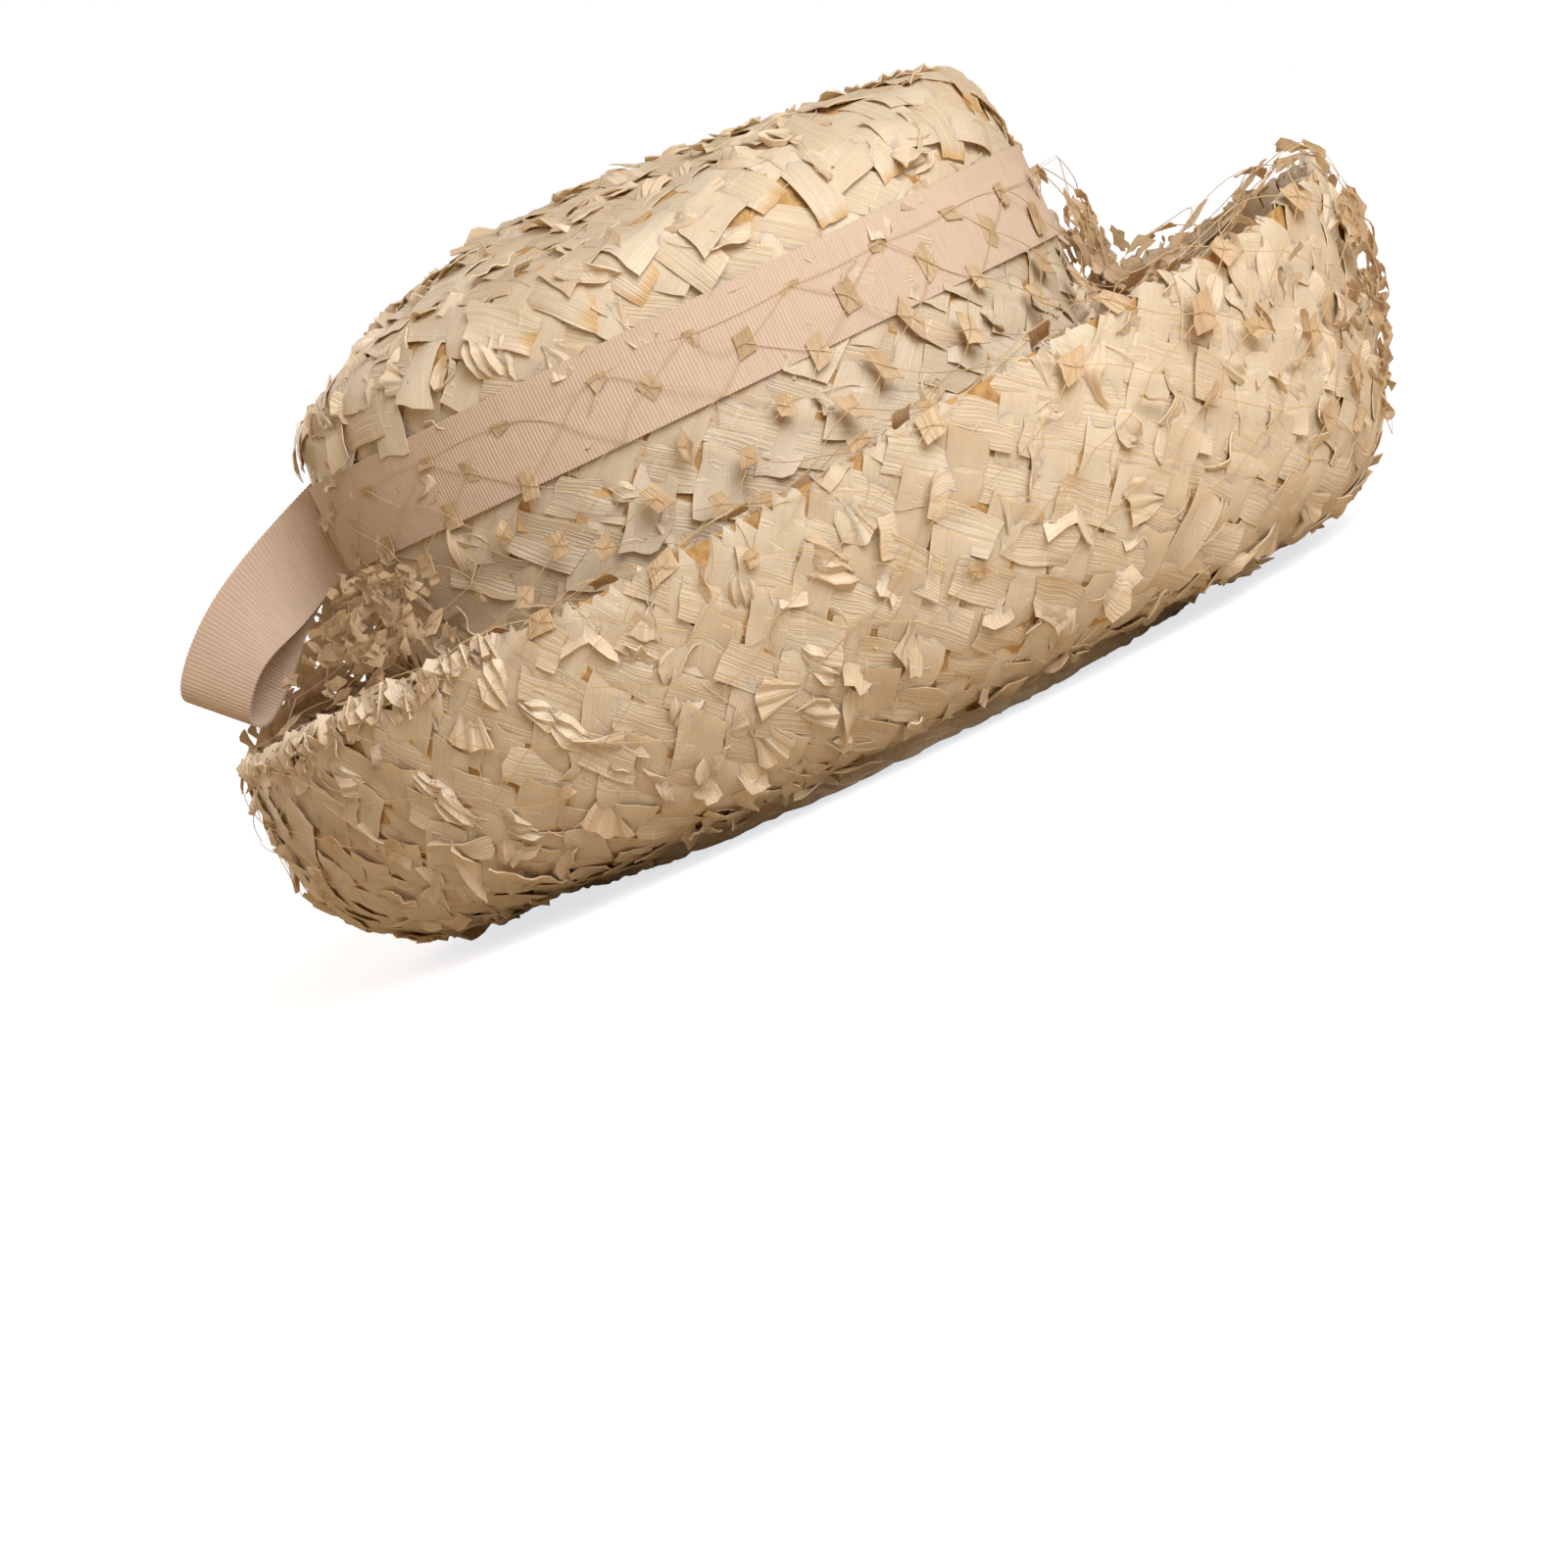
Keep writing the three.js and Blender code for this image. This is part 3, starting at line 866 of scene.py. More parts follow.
def colour_property(name, description, default):
    return bpy.props.FloatVectorProperty(
        name=name, description=description, default=default, size=3, min=0, max=1, subtype="COLOR"
    )


def length_property(name, description, default):
    return bpy.props.FloatProperty(
        name=name, description=description, default=default, min=0, precision=5, unit="LENGTH"
    )


def angle_property(name, description, degrees):
    return bpy.props.FloatProperty(
        name=name, description=description, default=math.radians(degrees), subtype="ANGLE"
    )


class HatStraw(bpy.types.PropertyGroup):
    """The woven straw."""

    crown_cell: length_property("Crown cell", "Width of a flat straw on the crown", 0.0126)
    brim_cell: length_property("Brim cell", "Width of a flat straw on the brim", 0.0112)
    thick: length_property("Thickness", "Thickness of a flat straw", 0.0003)
    crumpled: bpy.props.FloatProperty(
        name="Crumples",
        description="Share of the crossings with a crumpled end of straw",
        default=0.44,
        min=0,
        max=1,
        subtype="FACTOR",
    )
    pale: colour_property("Pale straw", "Colour of the straw in the light", (0.87, 0.75, 0.6))
    shade: colour_property("Shade straw", "Colour of the darker streaks", (0.66, 0.49, 0.32))
    # Painted shade: the golden colour given to straw low in the weave, where shade falls.
    hollow_shade: colour_property("Painted hollow shade", "Colour of the straw deep in the weave", (0.62, 0.38, 0.15))


class HatRibbon(bpy.types.PropertyGroup):
    """The ribbon band and its loop."""

    rib: length_property("Rib", "Distance between the ribs of the ribbon", 0.00098)
    thick: length_property("Thickness", "Thickness of the ribbon", 0.0006)
    colour: colour_property("Ribbon", "Colour of the ribbon", (0.71, 0.585, 0.485))
    # Painted shade: the darker colour given to the grooves between the ribs.
    groove_shade: colour_property("Groove shade", "Colour between the ribs", (0.56, 0.43, 0.335))


class HatVeil(bpy.types.PropertyGroup):
    """The flecked net."""

    thread: length_property("Thread", "Thickness of the net's threads", 0.00021)
    fleck: length_property("Fleck", "Half the length of a straw fleck on the net", 0.0037)
    thread_colour: colour_property("Threads", "Colour of the threads", (0.7, 0.53, 0.35))
    fleck_colour: colour_property("Flecks", "Colour of the straw flecks", (0.78, 0.6, 0.41))


class HatStage(bpy.types.PropertyGroup):
    """The floor, light and camera."""

    floor: colour_property("Floor", "Colour of the floor", (0.62, 0.68, 0.78))
    distance: length_property("Camera distance", "From the camera to the middle of the hat", 1.2)
    elevation: angle_property("Camera elevation", "Height of the camera above the level", 5.5)
    roll: angle_property("Camera roll", "Turn of the camera about its own axis", 25.5)


# Sizes in millimetres: the way up the crown where its top begins, and a round one to lay it by.
LEDGE = 135.0
CROWN_RADIUS = 92.0
FIBRE_THICK = 0.22
INSIDE_THICK = 0.25

# Straws along the crown's lip, by the way up it and how far they stand off.
LipRow = namedtuple("LipRow", "height rise")
LIP_ROWS = (LipRow(1.5, 0.1), LipRow(4.6, 0.5), LipRow(7.6, 1.6), LipRow(10.4, 1.4))
LIP_CHIPS = 60
LIP_SEED = 15


# The colours of the straw that shows between the straws of the weave: a dark amber painted shade,
# so that the gaps look deep.
GROUND_SHADE_PALE = (0.62, 0.4, 0.17)
GROUND_SHADE_DARK = (0.4, 0.23, 0.08)


def straw_kit(settings, cell):
    """The chips, crumples and fibres that the weave is laid from."""
    thick = settings.thick / MM
    chip = woven_chip(thick, 6, 4)
    return Kit(
        cell / MM, chip, crumple_shapes(thick), straight_strand(FIBRE_THICK), settings.crumpled
    )


def outer_straw(settings):
    found = bpy.data.materials.get("woven straw")
    colours = (settings.pale, settings.shade, settings.hollow_shade)
    return found or straw_material("woven straw", *colours)


def ground_straw():
    found = bpy.data.materials.get("straw ground shade")
    return found or ground_material("straw ground shade", GROUND_SHADE_PALE, GROUND_SHADE_DARK)


def lay_lip(heap, chart, chip):
    """Lays straws along the crown's lip and round the brim's foot, where they close the gap."""
    rng = np.random.default_rng(LIP_SEED)
    n = LIP_CHIPS
    for height, rise in LIP_ROWS:
        across = (np.arange(n) / n - 0.5) * TURN * CROWN_RADIUS + rng.normal(0, 0.8, n)
        heap.lay(
            chip,
            chart,
            centre=np.stack([across, np.full(n, height)], axis=-1),
            angle=rng.normal(0, 0.1, n),
            length=rng.uniform(0.75, 0.95, n),
            width=rng.uniform(0.45, 0.62, n),
            rise=rng.normal(rise, 0.15, n),
            twist=rng.normal(0, 0.2, n),
            crinkle=rng.uniform(0.05, 0.25, n),
            lift=rng.uniform(0, 0.7, n),
            tone=rng.beta(3, 2, n) * 0.98 + 1,
            seed=rng.random(n),
        )


class HAT_OT_crown(bpy.types.Operator):
    """Makes the crown: a straw wall, its weave outside and a flatter weave inside"""

    bl_idname = "hat.crown"
    bl_label = "Crown"

    def execute(self, context):
        settings = context.scene.hat_straw
        wall = crown_wall()

        def place(u, v):
            pole = np.isclose(v, 0) | np.isclose(v, 1)
            turn = np.where(pole, 0, u * TURN)
            first, last = wall.ends(turn)
            return wall.read(turn, first + (last - first) * v)[0]

        add_piece(grid_mesh("crown_wall", 128, 150, place), ground_straw(), "straw", "crown")

        kit = straw_kit(settings, settings.crown_cell)
        half_round = math.pi * CROWN_RADIUS
        heap = Heap()

        def side(across, up):
            return wall.read(across / CROWN_RADIUS, up)

        def on_side(across, up):
            wave = 2 * np.sin(across / 21) + 1.5 * np.sin(across / 13 + 1)
            return (np.abs(across) < half_round) & (up > 7) & (up < LEDGE + 6 + wave)

        weave_straw(heap, side, on_side, CROWN_SIDE, kit)
        box = ((-half_round, half_round), (0, LEDGE))
        loose_fibres(heap, side, on_side, box, CROWN_SIDE, kit)
        lay_lip(heap, side, kit.chip)
        add_piece(heap.mesh("crown_side_straw"), outer_straw(settings), "straw", "crown")

        heap = Heap()
        span = wall.ends(Wall.turns())[1] - LEDGE
        long = span[0]
        wide = span[Wall.TURNS // 4]

        def top(across, up):
            share = np.hypot(across / long, up / wide)
            turn = np.arctan2(up / wide, across / long)
            last = wall.ends(turn)[1]
            point, normal = wall.read(turn, last - 0.2 - share * (last - LEDGE))
            rise = 2.2 * np.clip((share - 0.78) / 0.22, 0, 1) ** 2
            return point + normal * rise[..., None], normal

        def on_top(across, up):
            turn = np.arctan2(up / wide, across / long)
            wave = 0.03 * np.sin(7 * turn) + 0.02 * np.sin(13 * turn + 2)
            return np.hypot(across / long, up / wide) < 0.98 + wave

        weave_straw(heap, top, on_top, CROWN_TOP, kit)
        box = ((-long, long), (-wide, wide))
        loose_fibres(heap, top, on_top, box, CROWN_TOP, kit)
        add_piece(heap.mesh("crown_top_straw"), outer_straw(settings), "straw", "crown")

        heap = Heap()
        kit = kit._replace(chip=woven_chip(INSIDE_THICK, 3, 2))

        def inside(across, up):
            return wall.read(across / CROWN_RADIUS, -up)

        def on_inside(across, up):
            return (np.abs(across) < half_round) & (up > 6) & (up < LEDGE + 7)

        def ceiling(across, up):
            turn = np.arctan2(up / wide, across / long)
            first = wall.ends(turn)[0]
            share = np.hypot(across / long, up / wide)
            return wall.read(turn, first + 0.2 + share * (-first - LEDGE - 3))

        weave_straw(heap, inside, on_inside, CROWN_INSIDE, kit)
        weave_straw(heap, ceiling, on_top, CROWN_CEILING, kit)
        add_piece(heap.mesh("crown_inner_straw"), outer_straw(settings), "straw", "crown")
        return {"FINISHED"}


# A round size to lay the brim's edge by, in millimetres, and the straw ends that stand on it:
# how many of each shape on each side, and between which turns from the front in degrees.
EDGE_RADIUS = 140.0
TUFTS = 9
TUFT_TURNS = (124, 176)
TUFT_SEED = 53


def lay_tufts(heap, wall, crumples):
    """Lays crumpled ends of straw that stand along the brim's edge at the back."""
    rng = np.random.default_rng(TUFT_SEED)

    def edge(across, up):
        return wall.read(across / EDGE_RADIUS, up)

    n = TUFTS
    for side in (-1, 1):
        for crumple in crumples:
            turns = side * np.radians(rng.uniform(*TUFT_TURNS, n))
            heap.lay(
                crumple.shape,
                edge,
                centre=np.stack([turns * EDGE_RADIUS, rng.uniform(-3, 1, n)], axis=-1),
                angle=rng.normal(math.pi / 2, 0.5, n),
                length=rng.uniform(0.8, 1.2, n),
                width=rng.uniform(0.8, 1.2, n),
                high=rng.uniform(1.0, 1.7, n),
                crinkle=rng.uniform(0.3, 0.7, n),
                slant=rng.normal(0, 0.9, n),
                tone=rng.beta(3, 2, n) * 0.98 + 1,
                seed=rng.random(n),
            )


class HAT_OT_brim(bpy.types.Operator):
    """Makes the brim: a straw wall, with a weave outside and inside that folds over its edge"""

    bl_idname = "hat.brim"
    bl_label = "Brim"

    def execute(self, context):
        settings = context.scene.hat_straw
        wall = brim_wall()

        def place(u, v):
            first, last = wall.ends(u * TURN)
            v = np.where(np.isclose(v, 1), 0, v)
            return wall.read(u * TURN, first + (last - first) * v)[0]

        add_piece(grid_mesh("brim_wall", 160, 100, place), ground_straw(), "straw", "brim")

        kit = straw_kit(settings, settings.brim_cell)

        def turn_and_out(across, up):
            turn = np.arctan2(up, across) / BRIM_SECTOR * TURN
            return turn, BRIM_STRETCH * (BRIM_OUTER - np.hypot(across, up))

        def outside(across, up):
            turn, down = turn_and_out(across, up)
            return wall.read(turn, -down)

        def on_outside(across, up):
            turn, down = turn_and_out(across, up)
            first = wall.ends(turn)[0]
            return (np.abs(turn) < math.pi) & (down > 0) & (down < -first - 3.5)

        heap = Heap()
        weave_straw(heap, outside, on_outside, BRIM_OUTSIDE, kit)
        span = BRIM_OUTER * math.sin(BRIM_SECTOR / 2)
        box = ((BRIM_OUTER * 0.75, BRIM_OUTER), (-span, span))
        loose_fibres(heap, outside, on_outside, box, BRIM_OUTSIDE, kit)
        lay_tufts(heap, wall, kit.crumples)
        add_piece(heap.mesh("brim_outer_straw"), outer_straw(settings), "straw", "brim")

        def within(across, up):
            turn, down = turn_and_out(across, up)
            return wall.read(turn, down)

        def on_inside(across, up):
            turn, down = turn_and_out(across, up)
            last = wall.ends(turn)[1]
            return (np.abs(turn) < math.pi) & (down > 1) & (down < last - 3.5)

        heap = Heap()
        weave_straw(heap, within, on_inside, BRIM_INSIDE, kit)
        add_piece(heap.mesh("brim_inner_straw"), outer_straw(settings), "straw", "brim")
        return {"FINISHED"}


# How high a rib stands, in millimetres, and how far its end stands out of the ribbon's edge.
RIB_HIGH = 0.15
EDGE_NICK = 0.018


def rib_wave(place, pitch):
    """The rounded height of a corded ribbon across its ribs, from 0 in a groove to 1 on a rib."""
    return np.abs(np.sin(math.pi * place / pitch)) ** 0.8


def loop_path():
    """The loop's line in millimetres: out from the crown on one side and back on the other."""
    halves = [
        ((-0.04, LOOP_NECK), (0.35, LOOP_NECK), (0.5, LOOP_HALF), (0.75, LOOP_HALF)),
        ((0.75, LOOP_HALF), (0.95, LOOP_HALF), (1, LOOP_HALF * 0.6), (1, 0)),
    ]
    out = np.array(halves) * (LOOP_LENGTH, 1)
    back = out[::-1, ::-1] * (1, -1)
    share = np.linspace(0, 1, 80)[:, None]
    return np.concatenate([cubic(share, *curve) for curve in (*out, *back)])


class HAT_OT_ribbon(bpy.types.Operator):
    """Makes the corded ribbon band and its loop at the back"""

    bl_idname = "hat.ribbon"
    bl_label = "Ribbon"

    def execute(self, context):
        settings = context.scene.hat_ribbon
        material = ribbon_material(settings.colour, settings.groove_shade)
        thick = settings.thick / MM
        middle = crown_along(BAND_FOOT + BAND_WIDTH / 2)
        turns = np.linspace(0, TURN, 721)
        arcs = run_lengths(crown_off(np.full_like(turns, middle), turns, np.full_like(turns, 1.2)))
        length = arcs[-1]
        ribs = round(length / (settings.rib / MM))
        pitch = length / ribs

        def band(u, v):
            arc = u * length
            turn = np.interp(arc, arcs, turns)
            rib = rib_wave(arc, pitch)
            edge = np.abs(2 * v - 1)
            share = v + (v - 0.5) * (rib - 0.5) * EDGE_NICK * (edge > 0.95)
            wave = 0.35 * np.sin(3 * turn + 1) + 0.25 * np.sin(7 * turn) + 0.12 * np.sin(19 * turn)
            height = BAND_FOOT + BAND_WIDTH * share
            off = 1.0 + RIB_HIGH * rib + 0.3 * wave * (2 * v - 1) ** 2 + 0.25 * edge**4
            return crown_off(crown_along(height), turn, off)

        def flat(u, v):
            arc = u * length
            return np.stack([arc, v * BAND_WIDTH, 1 - rib_wave(arc, pitch)], axis=-1)

        mesh = grid_mesh("ribbon_band", 4 * ribs, 6, band, flat, thick)
        piece = add_piece(mesh, material, "ribbon", "hat_band")

        start = crown_off(np.array(middle), np.array(math.pi), np.array(2 * GAP + 1))
        path = loop_path()
        ways = run_lengths(path)
        loop_length = ways[-1]
        loop_ribs = round(loop_length / pitch)

        def on_path(way):
            return np.stack([np.interp(way, ways, path[:, k]) for k in range(2)], axis=-1)

        def loop(u, v):
            way = u * loop_length
            tangent = on_path(way + 0.6) - on_path(way - 0.6)
            tangent /= np.linalg.norm(tangent, axis=-1, keepdims=True)
            rib = rib_wave(way, loop_length / loop_ribs)
            out = np.stack([-tangent[:, 1], tangent[:, 0]], axis=-1)
            edge = np.abs(2 * v - 1) > 0.95
            spot = on_path(way) + out * (RIB_HIGH * rib - 0.5)[:, None]
            along = np.clip(spot[:, 0] / LOOP_LENGTH, -0.04, 1)
            bend = np.clip(along / 0.8, 0, 1)
            bend = bend * bend * (3 - 2 * bend)
            roll = LOOP_ROLL * bend
            across = (v - 0.5) * BAND_WIDTH * (1 + EDGE_NICK * (rib - 0.5) * edge)
            layer = -spot[:, 1]
            aside = layer * np.cos(roll) + across * np.sin(roll)
            up = across * np.cos(roll) - layer * np.sin(roll)
            t = along[:, None]
            knee = np.array([LOOP_LENGTH * 0.5, -LOOP_DROP * 0.3])
            tip = np.array([LOOP_LENGTH * 0.88, -LOOP_DROP])
            fall = 2 * (1 - t) * t * knee + t**2 * tip
            lean = (1 - t) * knee + t * (tip - knee)
            lean /= np.linalg.norm(lean, axis=-1, keepdims=True)
            lean = lean * bend[:, None] + np.array([1, 0]) * (1 - bend[:, None])
            lean /= np.linalg.norm(lean, axis=-1, keepdims=True)
            x = start[0] - fall[:, 0] + lean[:, 1] * up
            z = start[2] + fall[:, 1] + lean[:, 0] * up
            return np.stack([x, start[1] + aside, z], axis=-1)

        def loop_flat(u, v):
            way = u * loop_length
            rib = rib_wave(way, loop_length / loop_ribs)
            return np.stack([way + 300, v * BAND_WIDTH, 1 - rib], axis=-1)

        mesh = grid_mesh("ribbon_loop", 4 * loop_ribs, 8, loop, loop_flat, thick, weld=False)
        piece = add_piece(mesh, material, "ribbon", "bow_loop")
        return {"FINISHED"}


# The diamonds of the net, and a round size to lay it by, in millimetres.
VEIL_COLUMNS = 24
VEIL_ROWS = 15
VEIL_RADIUS = 120.0

# The way down the net, and where on it the brim's edge is passed, in millimetres.
VEIL_WAY = 160.0
VEIL_EDGE = 115.0

# Where the net is drawn together, so that more of its flecks stand over each other. Turns are in
# degrees from the front, and none goes past the ends, so that the ribbon loop stays clear.
GATHER_ENDS = (-158, 168)
Gather = namedtuple("Gather", "turn spread low high sink stand size tone flecks")
VEIL_GATHERS = (
    # The first four gathers sink under the net with dark tones: dark flecks, mostly in the painted
    # hollow shade, that stand in as a painted shade for the shadowed hollow beside the ribbon loop.
    Gather(149, 11, 26, 100, -13, -2, 0.9, 0.25, 270),
    Gather(156, 7, 92, 116, -5, 3, 0.9, 0.2, 110),
    Gather(163, 4, 24, 62, -9, 0, 0.86, 0.25, 90),
    Gather(-147, 6, 30, 84, -13, -6, 0.8, 0.1, 100),
    Gather(-148, 6, 34, 84, -6, 0, 0.8, 0.95, 40),
    Gather(0, 24, 84, 130, -1, 1.6, 0.66, 0.3, 54),
    Gather(7, 11, 12, 52, -6, 1, 0.66, 0.2, 30),
    Gather(-5, 9, 112, 154, -1, 1, 0.6, 0.35, 40),
)
LOOP_GATHERS = (
    Gather(6, 9, 12, 50, 0, 3, 0.95, 0.2, 40),
    Gather(0, 16, 104, 126, 0, 1.6, 0.8, 0.3, 20),
)

# The part of the net, by turn and way, that the ribbon loop takes up.
LOOP_TURN = math.radians(168)
LOOP_WAYS = (22, 106)

# The size that the flecks' shapes are drawn at, and their thickness, in millimetres.
FLECK_DRAWN = 3.7
FLECK_THICK = 0.25
VEIL_SEED = 71

# The darker colours of the threads and the flecks. The threads' darker colour is both the colour of
# their streaks and their painted hollow shade, and the flecks' hollow colour is a painted shade on
# flecks low under the net.
THREAD_STREAK_AND_SHADE = (0.5, 0.35, 0.19)
FLECK_DARK = (0.45, 0.29, 0.16)
FLECK_HOLLOW_SHADE = (0.45, 0.32, 0.2)


def under_loop(spots):
    """Tells which spots of the net would cut through the ribbon loop."""
    turn = np.abs(spots[:, 0]) / VEIL_RADIUS
    way = spots[:, 1]
    return (turn > LOOP_TURN) & (way > LOOP_WAYS[0]) & (way < LOOP_WAYS[1])


def net_crossings(rng):
    """The crossings of the net by row and column: a place round it and a way down it."""
    spots = {}
    wide = 2 * VEIL_END * VEIL_RADIUS / VEIL_COLUMNS
    for row in range(VEIL_ROWS + 1):
        shift = 0.5 * (row % 2)
        for column in range(VEIL_COLUMNS + 1 - row % 2):
            jitter = rng.normal(0, 1, 2) * (1.6, 1.4)
            across = (column + shift) * wide - VEIL_END * VEIL_RADIUS + jitter[0]
            way = row / VEIL_ROWS * VEIL_WAY + jitter[1]
            spots[row, column] = (across, np.clip(way, 0, VEIL_WAY))
    return spots


def thread_ends(spots):
    """Both ends of each thread, from a crossing to those below it and along the upper border."""
    pairs = []
    for row, column in spots:
        for step in ((0, 1) if row % 2 else (-1, 0)):
            if (row + 1, column + step) in spots:
                pairs.append((spots[row, column], spots[row + 1, column + step]))
        if row == 0 and (row, column + 1) in spots:
            pairs.append((spots[row, column], spots[row, column + 1]))
    pairs = np.array(pairs)
    pairs = pairs[~under_loop(pairs.mean(axis=1))]
    return pairs[:, 0], pairs[:, 1]


def lay_threads(heap, chart, spots, thick, rng):
    """Lays a wavy thread between each two crossings."""
    start, end = thread_ends(spots)
    across = end - start
    n = len(across)
    heap.lay(
        straight_strand(thick),
        chart,
        centre=(start + end) / 2,
        angle=np.arctan2(across[:, 1], across[:, 0]),
        length=np.linalg.norm(across, axis=1) / 2,
        bow=rng.normal(0, 1.5, n),
        arch=rng.normal(0, 0.7, n),
        tone=rng.random(n),
        seed=rng.random(n),
    )


def lay_flecks(heap, chart, spots, size, rng):
    """Lays flat flecks on the crossings, fewer and smaller ones where the net hangs outside."""

    def lying(s, t):
        return (s * 4.6, t * 3.0, 0.3 + 0.3 * (1 - s * s))

    centres = np.array(list(spots.values()))
    sideways = np.abs(centres[:, 0]) / VEIL_RADIUS
    outside = centres[:, 1] > VEIL_EDGE - 6
    share = np.where(outside, np.where(sideways > math.radians(40), 0.1, 0.34), 0.8)
    kept = (rng.random(len(centres)) < share) & ~under_loop(centres)
    centres = centres[kept]
    outside = outside[kept]
    n = len(centres)
    small = np.where(outside, 0.72, 1.0)
    heap.lay(
        make_strip(4.6, 3.0, 3, 3, FLECK_THICK, lying),
        chart,
        centre=centres,
        angle=rng.normal(math.pi / 2, 0.22, n),
        length=small * size * rng.uniform(0.7, 1.1, n),
        width=small * size * rng.uniform(0.7, 1.1, n),
        slant=rng.normal(0, 0.9, n),
        taper=rng.normal(0, 0.12, n),
        twist=rng.normal(0, 0.3, n),
        curl=rng.normal(0, 0.25, n),
        lift=rng.normal(0, 0.4, n),
        crinkle=rng.uniform(0.05, 0.2, n),
        tone=np.where(outside, 0.98, rng.beta(3, 2, n)) * 0.98 + 1,
        seed=rng.random(n),
    )


def lay_gathers(heap, chart, size, rng):
    """Lays the standing flecks and small rings where the net is drawn together."""

    def standing(s, t):
        return (s * 4.4, 0.6 * s * s, t * 2.8 * (1 - 0.7 * s * s))

    def looped(s, t):
        angle = s * math.radians(172)
        return (3.6 * math.cos(angle), t * 0.9 + 0.8 * s, 2.8 * math.sin(angle))

    leaf = make_strip(4.4, 2.8, 4, 2, FLECK_THICK, standing)
    ring = make_strip(10, 0.9, 10, 1, FLECK_THICK, looped)
    for shape, gathers in ((leaf, VEIL_GATHERS), (ring, LOOP_GATHERS)):
        for gather in gathers:
            n = gather.flecks
            turns = np.clip(rng.normal(gather.turn, gather.spread, n), *GATHER_ENDS)
            ways = rng.uniform(gather.low, gather.high, n)
            heap.lay(
                shape,
                chart,
                centre=np.stack([np.radians(turns) * VEIL_RADIUS, ways], axis=-1),
                rise=rng.uniform(gather.sink, gather.stand, n),
                angle=rng.normal(math.pi / 2, 0.6, n),
                length=size * gather.size * rng.uniform(0.7, 1.2, n),
                width=size * gather.size * rng.uniform(0.7, 1.2, n),
                high=size * gather.size * rng.uniform(0.5, 1.1, n),
                slant=rng.normal(0, 1.2, n),
                bow=rng.normal(0, 0.8, n),
                crinkle=rng.uniform(0.2, 0.5, n),
                tone=np.clip(rng.normal(gather.tone, 0.15, n), 0, 1) * 0.98 + 1,
                seed=rng.random(n),
            )


class HAT_OT_veil(bpy.types.Operator):
    """Makes the net veil: wavy threads in open diamonds, with straw flecks on their crossings"""

    bl_idname = "hat.veil"
    bl_label = "Veil"

    def execute(self, context):
        settings = context.scene.hat_veil
        skin = veil_skin()
        rng = np.random.default_rng(VEIL_SEED)

        def sheet(across, up):
            turn = across / VEIL_RADIUS
            last = skin.ends(turn)[1]
            return skin.read(turn, up / VEIL_WAY * (last - 1) + 0.5)

        spots = net_crossings(rng)
        heap = Heap()
        lay_threads(heap, sheet, spots, settings.thread / MM, rng)
        colours = (settings.thread_colour, THREAD_STREAK_AND_SHADE, THREAD_STREAK_AND_SHADE)
        threads = straw_material("net thread", *colours, strength=0.1)
        add_piece(heap.mesh("veil_threads"), threads, "net", "veil")

        size = settings.fleck / MM / FLECK_DRAWN
        heap = Heap()
        lay_flecks(heap, sheet, spots, size, rng)
        lay_gathers(heap, sheet, size, rng)
        flecks = straw_material("straw fleck", settings.fleck_colour, FLECK_DARK, FLECK_HOLLOW_SHADE)
        add_piece(heap.mesh("veil_flecks"), flecks, "net", "veil")
        return {"FINISHED"}


# The lights: a sun's spread is its angle and a box's is its side, and spots and aims are in metres.
Light = namedtuple("Light", "name kind energy spread colour spot aim")
DAY = (1, 0.99, 0.97)
WARM = (1, 0.97, 0.92)
WIDE = math.radians(38)
WIDER = math.radians(50)
LIGHTS = (
    Light("window_light", "SUN", 1.25, WIDE, DAY, (0.76, -1.62, 0.95), (0, 0, 0)),
    Light("soft_box", "AREA", 4.5, 0.55, DAY, (0.46, -0.72, 0.5), (0.02, 0, 0.08)),
    Light("far_light", "SUN", 0.8, WIDER, WARM, (-0.9, 1.6, 0.65), (0, 0, 0)),
)

# The floor and the room glow pale where the camera sees them, and light the hat more warmly.
FLOOR_WARM = (0.66, 0.54, 0.38, 1)
FLOOR_GLOW = (0.95, 0.975, 1, 1)
FLOOR_GLOW_STRENGTH = 0.74
ROOM_WARM = (0.38, 0.265, 0.165, 1)
ROOM_PALE = (1, 1, 1, 1)

# The camera looks at this place, in metres, through a lens whose length is in millimetres.
CAMERA_AIM = (-0.0341, 0, 0.0012)
CAMERA_LENS = 101.8
CAMERA_SENSOR = 36

# Half the side of the floor in metres.
FLOOR_HALF = 30


def add_light(scene, light):
    """Adds a light at its spot, turned to its aim."""
    data = bpy.data.lights.new(light.name, light.kind)
    data.energy = light.energy
    data.color = light.colour
    setattr(data, "angle" if light.kind == "SUN" else "size", light.spread)
    lamp = bpy.data.objects.new(light.name, data)
    lamp.location = light.spot
    way = Vector(light.aim) - Vector(light.spot)
    lamp.rotation_euler = way.to_track_quat("-Z", "Y").to_euler()
    scene.collection.objects.link(lamp)


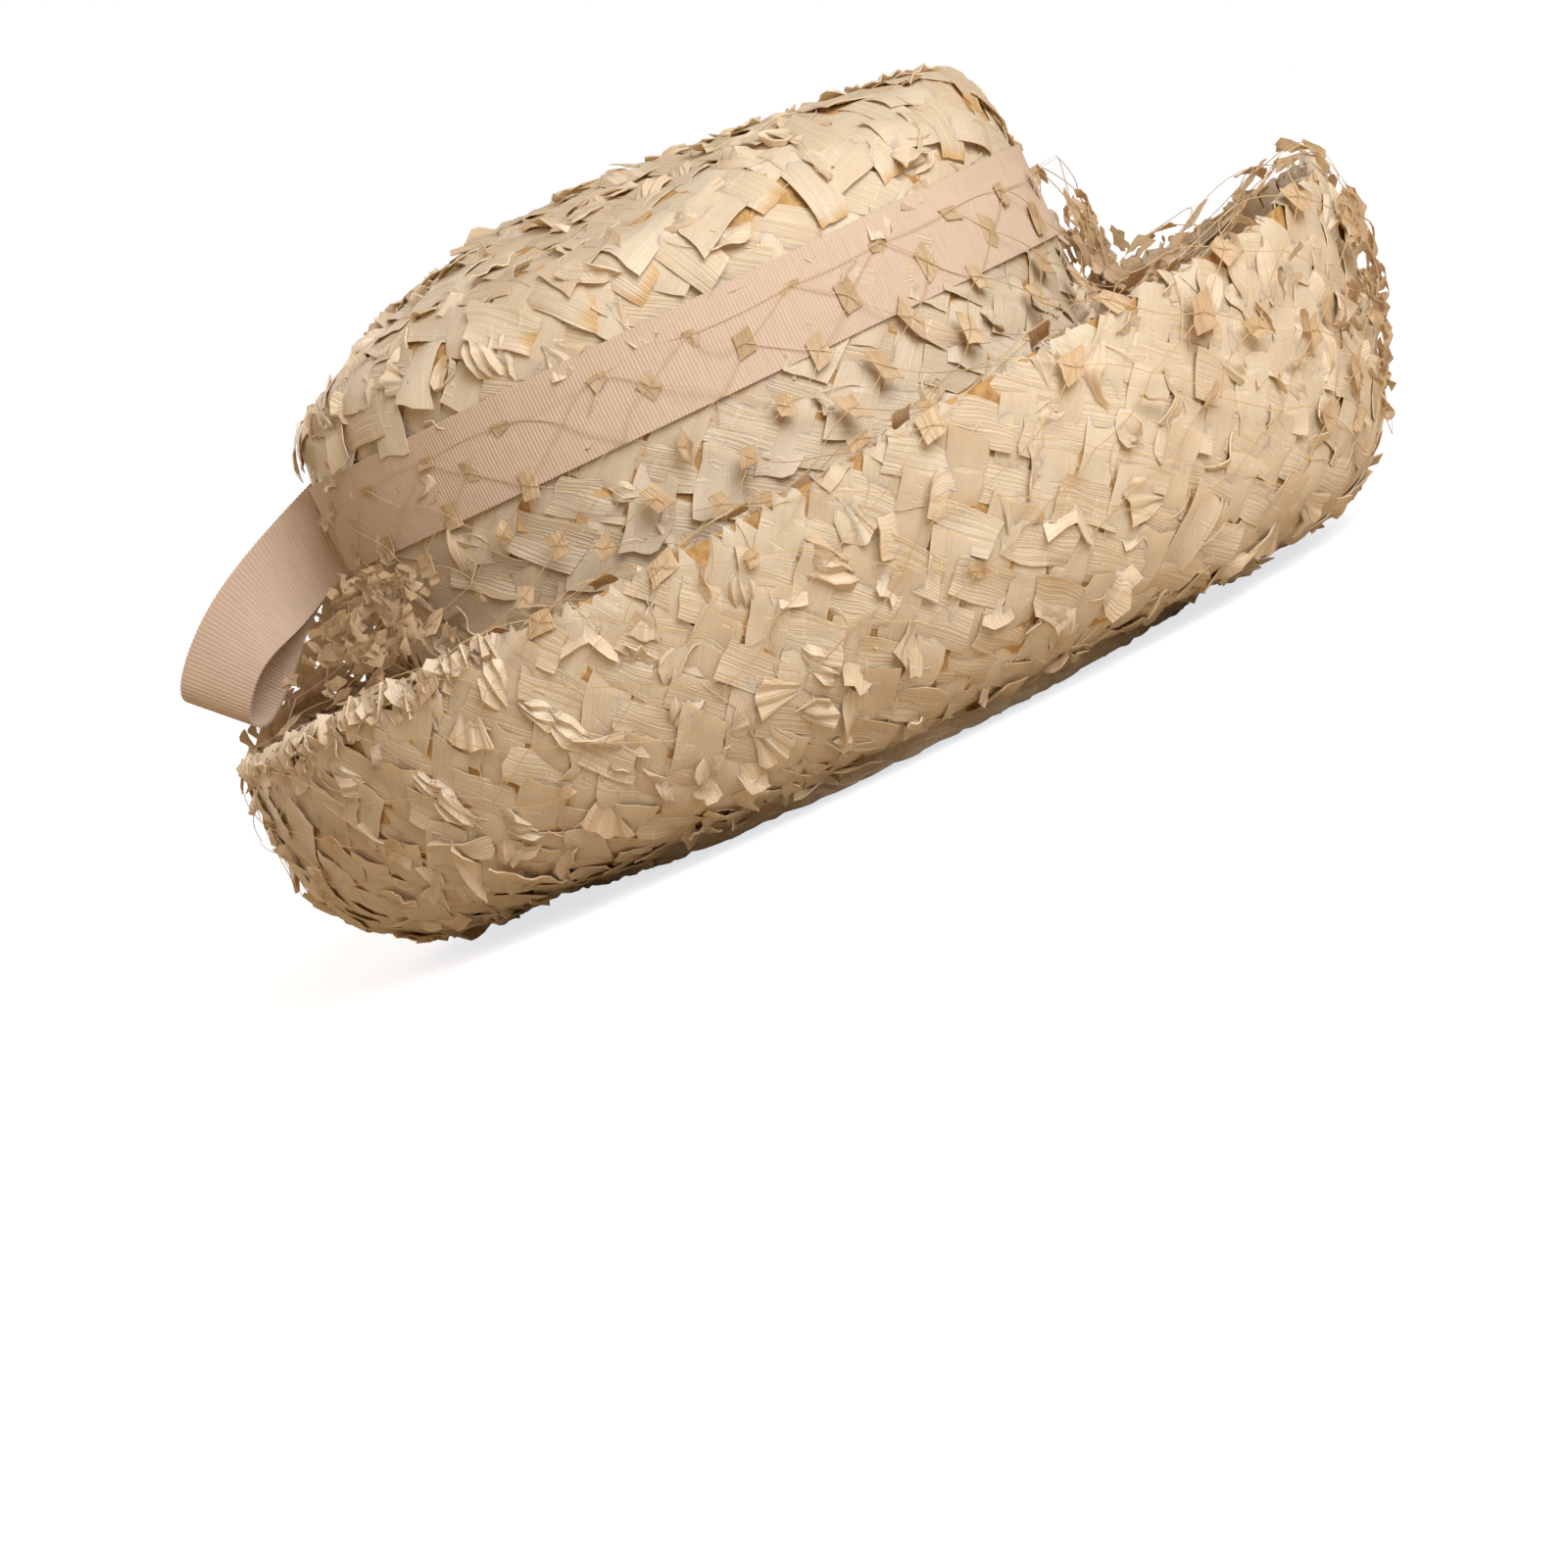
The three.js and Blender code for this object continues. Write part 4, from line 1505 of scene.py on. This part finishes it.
class HAT_OT_stage(bpy.types.Operator):
    """Makes the floor, the soft light and the camera"""

    bl_idname = "hat.stage"
    bl_label = "Stage"

    def execute(self, context):
        settings = context.scene.hat_stage
        scene = context.scene
        bm = bmesh.new()
        bmesh.ops.create_grid(bm, x_segments=1, y_segments=1, size=FLOOR_HALF)
        mesh = bpy.data.meshes.new("floor")
        bm.to_mesh(mesh)
        bm.free()
        floor = bpy.data.objects.new("floor", mesh)
        scene.collection.objects.link(floor)
        material, tree, shader = new_material("pale floor")
        mesh.materials.append(material)

        seen = node(tree, "ShaderNodeLightPath", {}).outputs["Is Camera Ray"]
        looks = {
            "Base Color": mix_colours(tree, seen, FLOOR_WARM, (*settings.floor, 1)),
            "Emission Color": FLOOR_GLOW,
            "Emission Strength": math_node(tree, "MULTIPLY", seen, FLOOR_GLOW_STRENGTH),
            "Roughness": 0.9,
            "Specular IOR Level": 0.1,
        }
        feed(tree, shader, looks)

        scene.world = bpy.data.worlds.new("soft room")
        scene.world.use_nodes = True
        tree = scene.world.node_tree
        seen = node(tree, "ShaderNodeLightPath", {}).outputs["Is Camera Ray"]
        sky = mix_colours(tree, seen, ROOM_WARM, ROOM_PALE)
        feed(tree, tree.nodes["Background"], {"Color": sky})
        for light in LIGHTS:
            add_light(scene, light)

        data = bpy.data.cameras.new("camera")
        data.sensor_width = CAMERA_SENSOR
        data.lens = CAMERA_LENS
        data.clip_start = 0.05
        data.clip_end = 100
        camera = bpy.data.objects.new("camera", data)
        lift = settings.elevation
        back_off = Vector((0, -math.cos(lift), math.sin(lift))) * settings.distance
        look = (-back_off).to_track_quat("-Z", "Y").to_matrix().to_4x4()
        roll = Matrix.Rotation(-settings.roll, 4, "Z")
        camera.matrix_world = Matrix.Translation(Vector(CAMERA_AIM) + back_off) @ look @ roll
        scene.collection.objects.link(camera)
        scene.camera = camera
        scene.view_settings.view_transform = "Standard"
        scene.view_settings.look = "None"
        return {"FINISHED"}


class HAT_PT_panel(bpy.types.Panel):
    """Lists the steps that make the hat, with their sizes and colours"""

    bl_idname = "HAT_PT_panel"
    bl_label = "Breton hat"
    bl_space_type = "VIEW_3D"
    bl_region_type = "UI"
    bl_category = "Hat"

    def draw(self, context):
        for settings, steps in (
            (context.scene.hat_straw, ("hat.crown", "hat.brim")),
            (context.scene.hat_ribbon, ("hat.ribbon",)),
            (context.scene.hat_veil, ("hat.veil",)),
            (context.scene.hat_stage, ("hat.stage",)),
        ):
            box = self.layout.box()
            for name in settings.bl_rna.properties.keys():
                if name not in ("rna_type", "name"):
                    box.prop(settings, name)
            for step in steps:
                box.operator(step)


SETTINGS = {
    "hat_straw": HatStraw,
    "hat_ribbon": HatRibbon,
    "hat_veil": HatVeil,
    "hat_stage": HatStage,
}
STEPS = (HAT_OT_crown, HAT_OT_brim, HAT_OT_ribbon, HAT_OT_veil, HAT_OT_stage)
CLASSES = (*SETTINGS.values(), *STEPS, HAT_PT_panel)


def register():
    for one in CLASSES:
        bpy.utils.register_class(one)
    for name, group in SETTINGS.items():
        setattr(bpy.types.Scene, name, bpy.props.PointerProperty(type=group))


def unregister():
    for name in SETTINGS:
        delattr(bpy.types.Scene, name)
    for one in reversed(CLASSES):
        bpy.utils.unregister_class(one)


def main():
    register()
    bpy.ops.hat.crown()
    bpy.ops.hat.brim()
    bpy.ops.hat.ribbon()
    bpy.ops.hat.veil()
    bpy.ops.hat.stage()


if __name__ == "__main__":
    main()
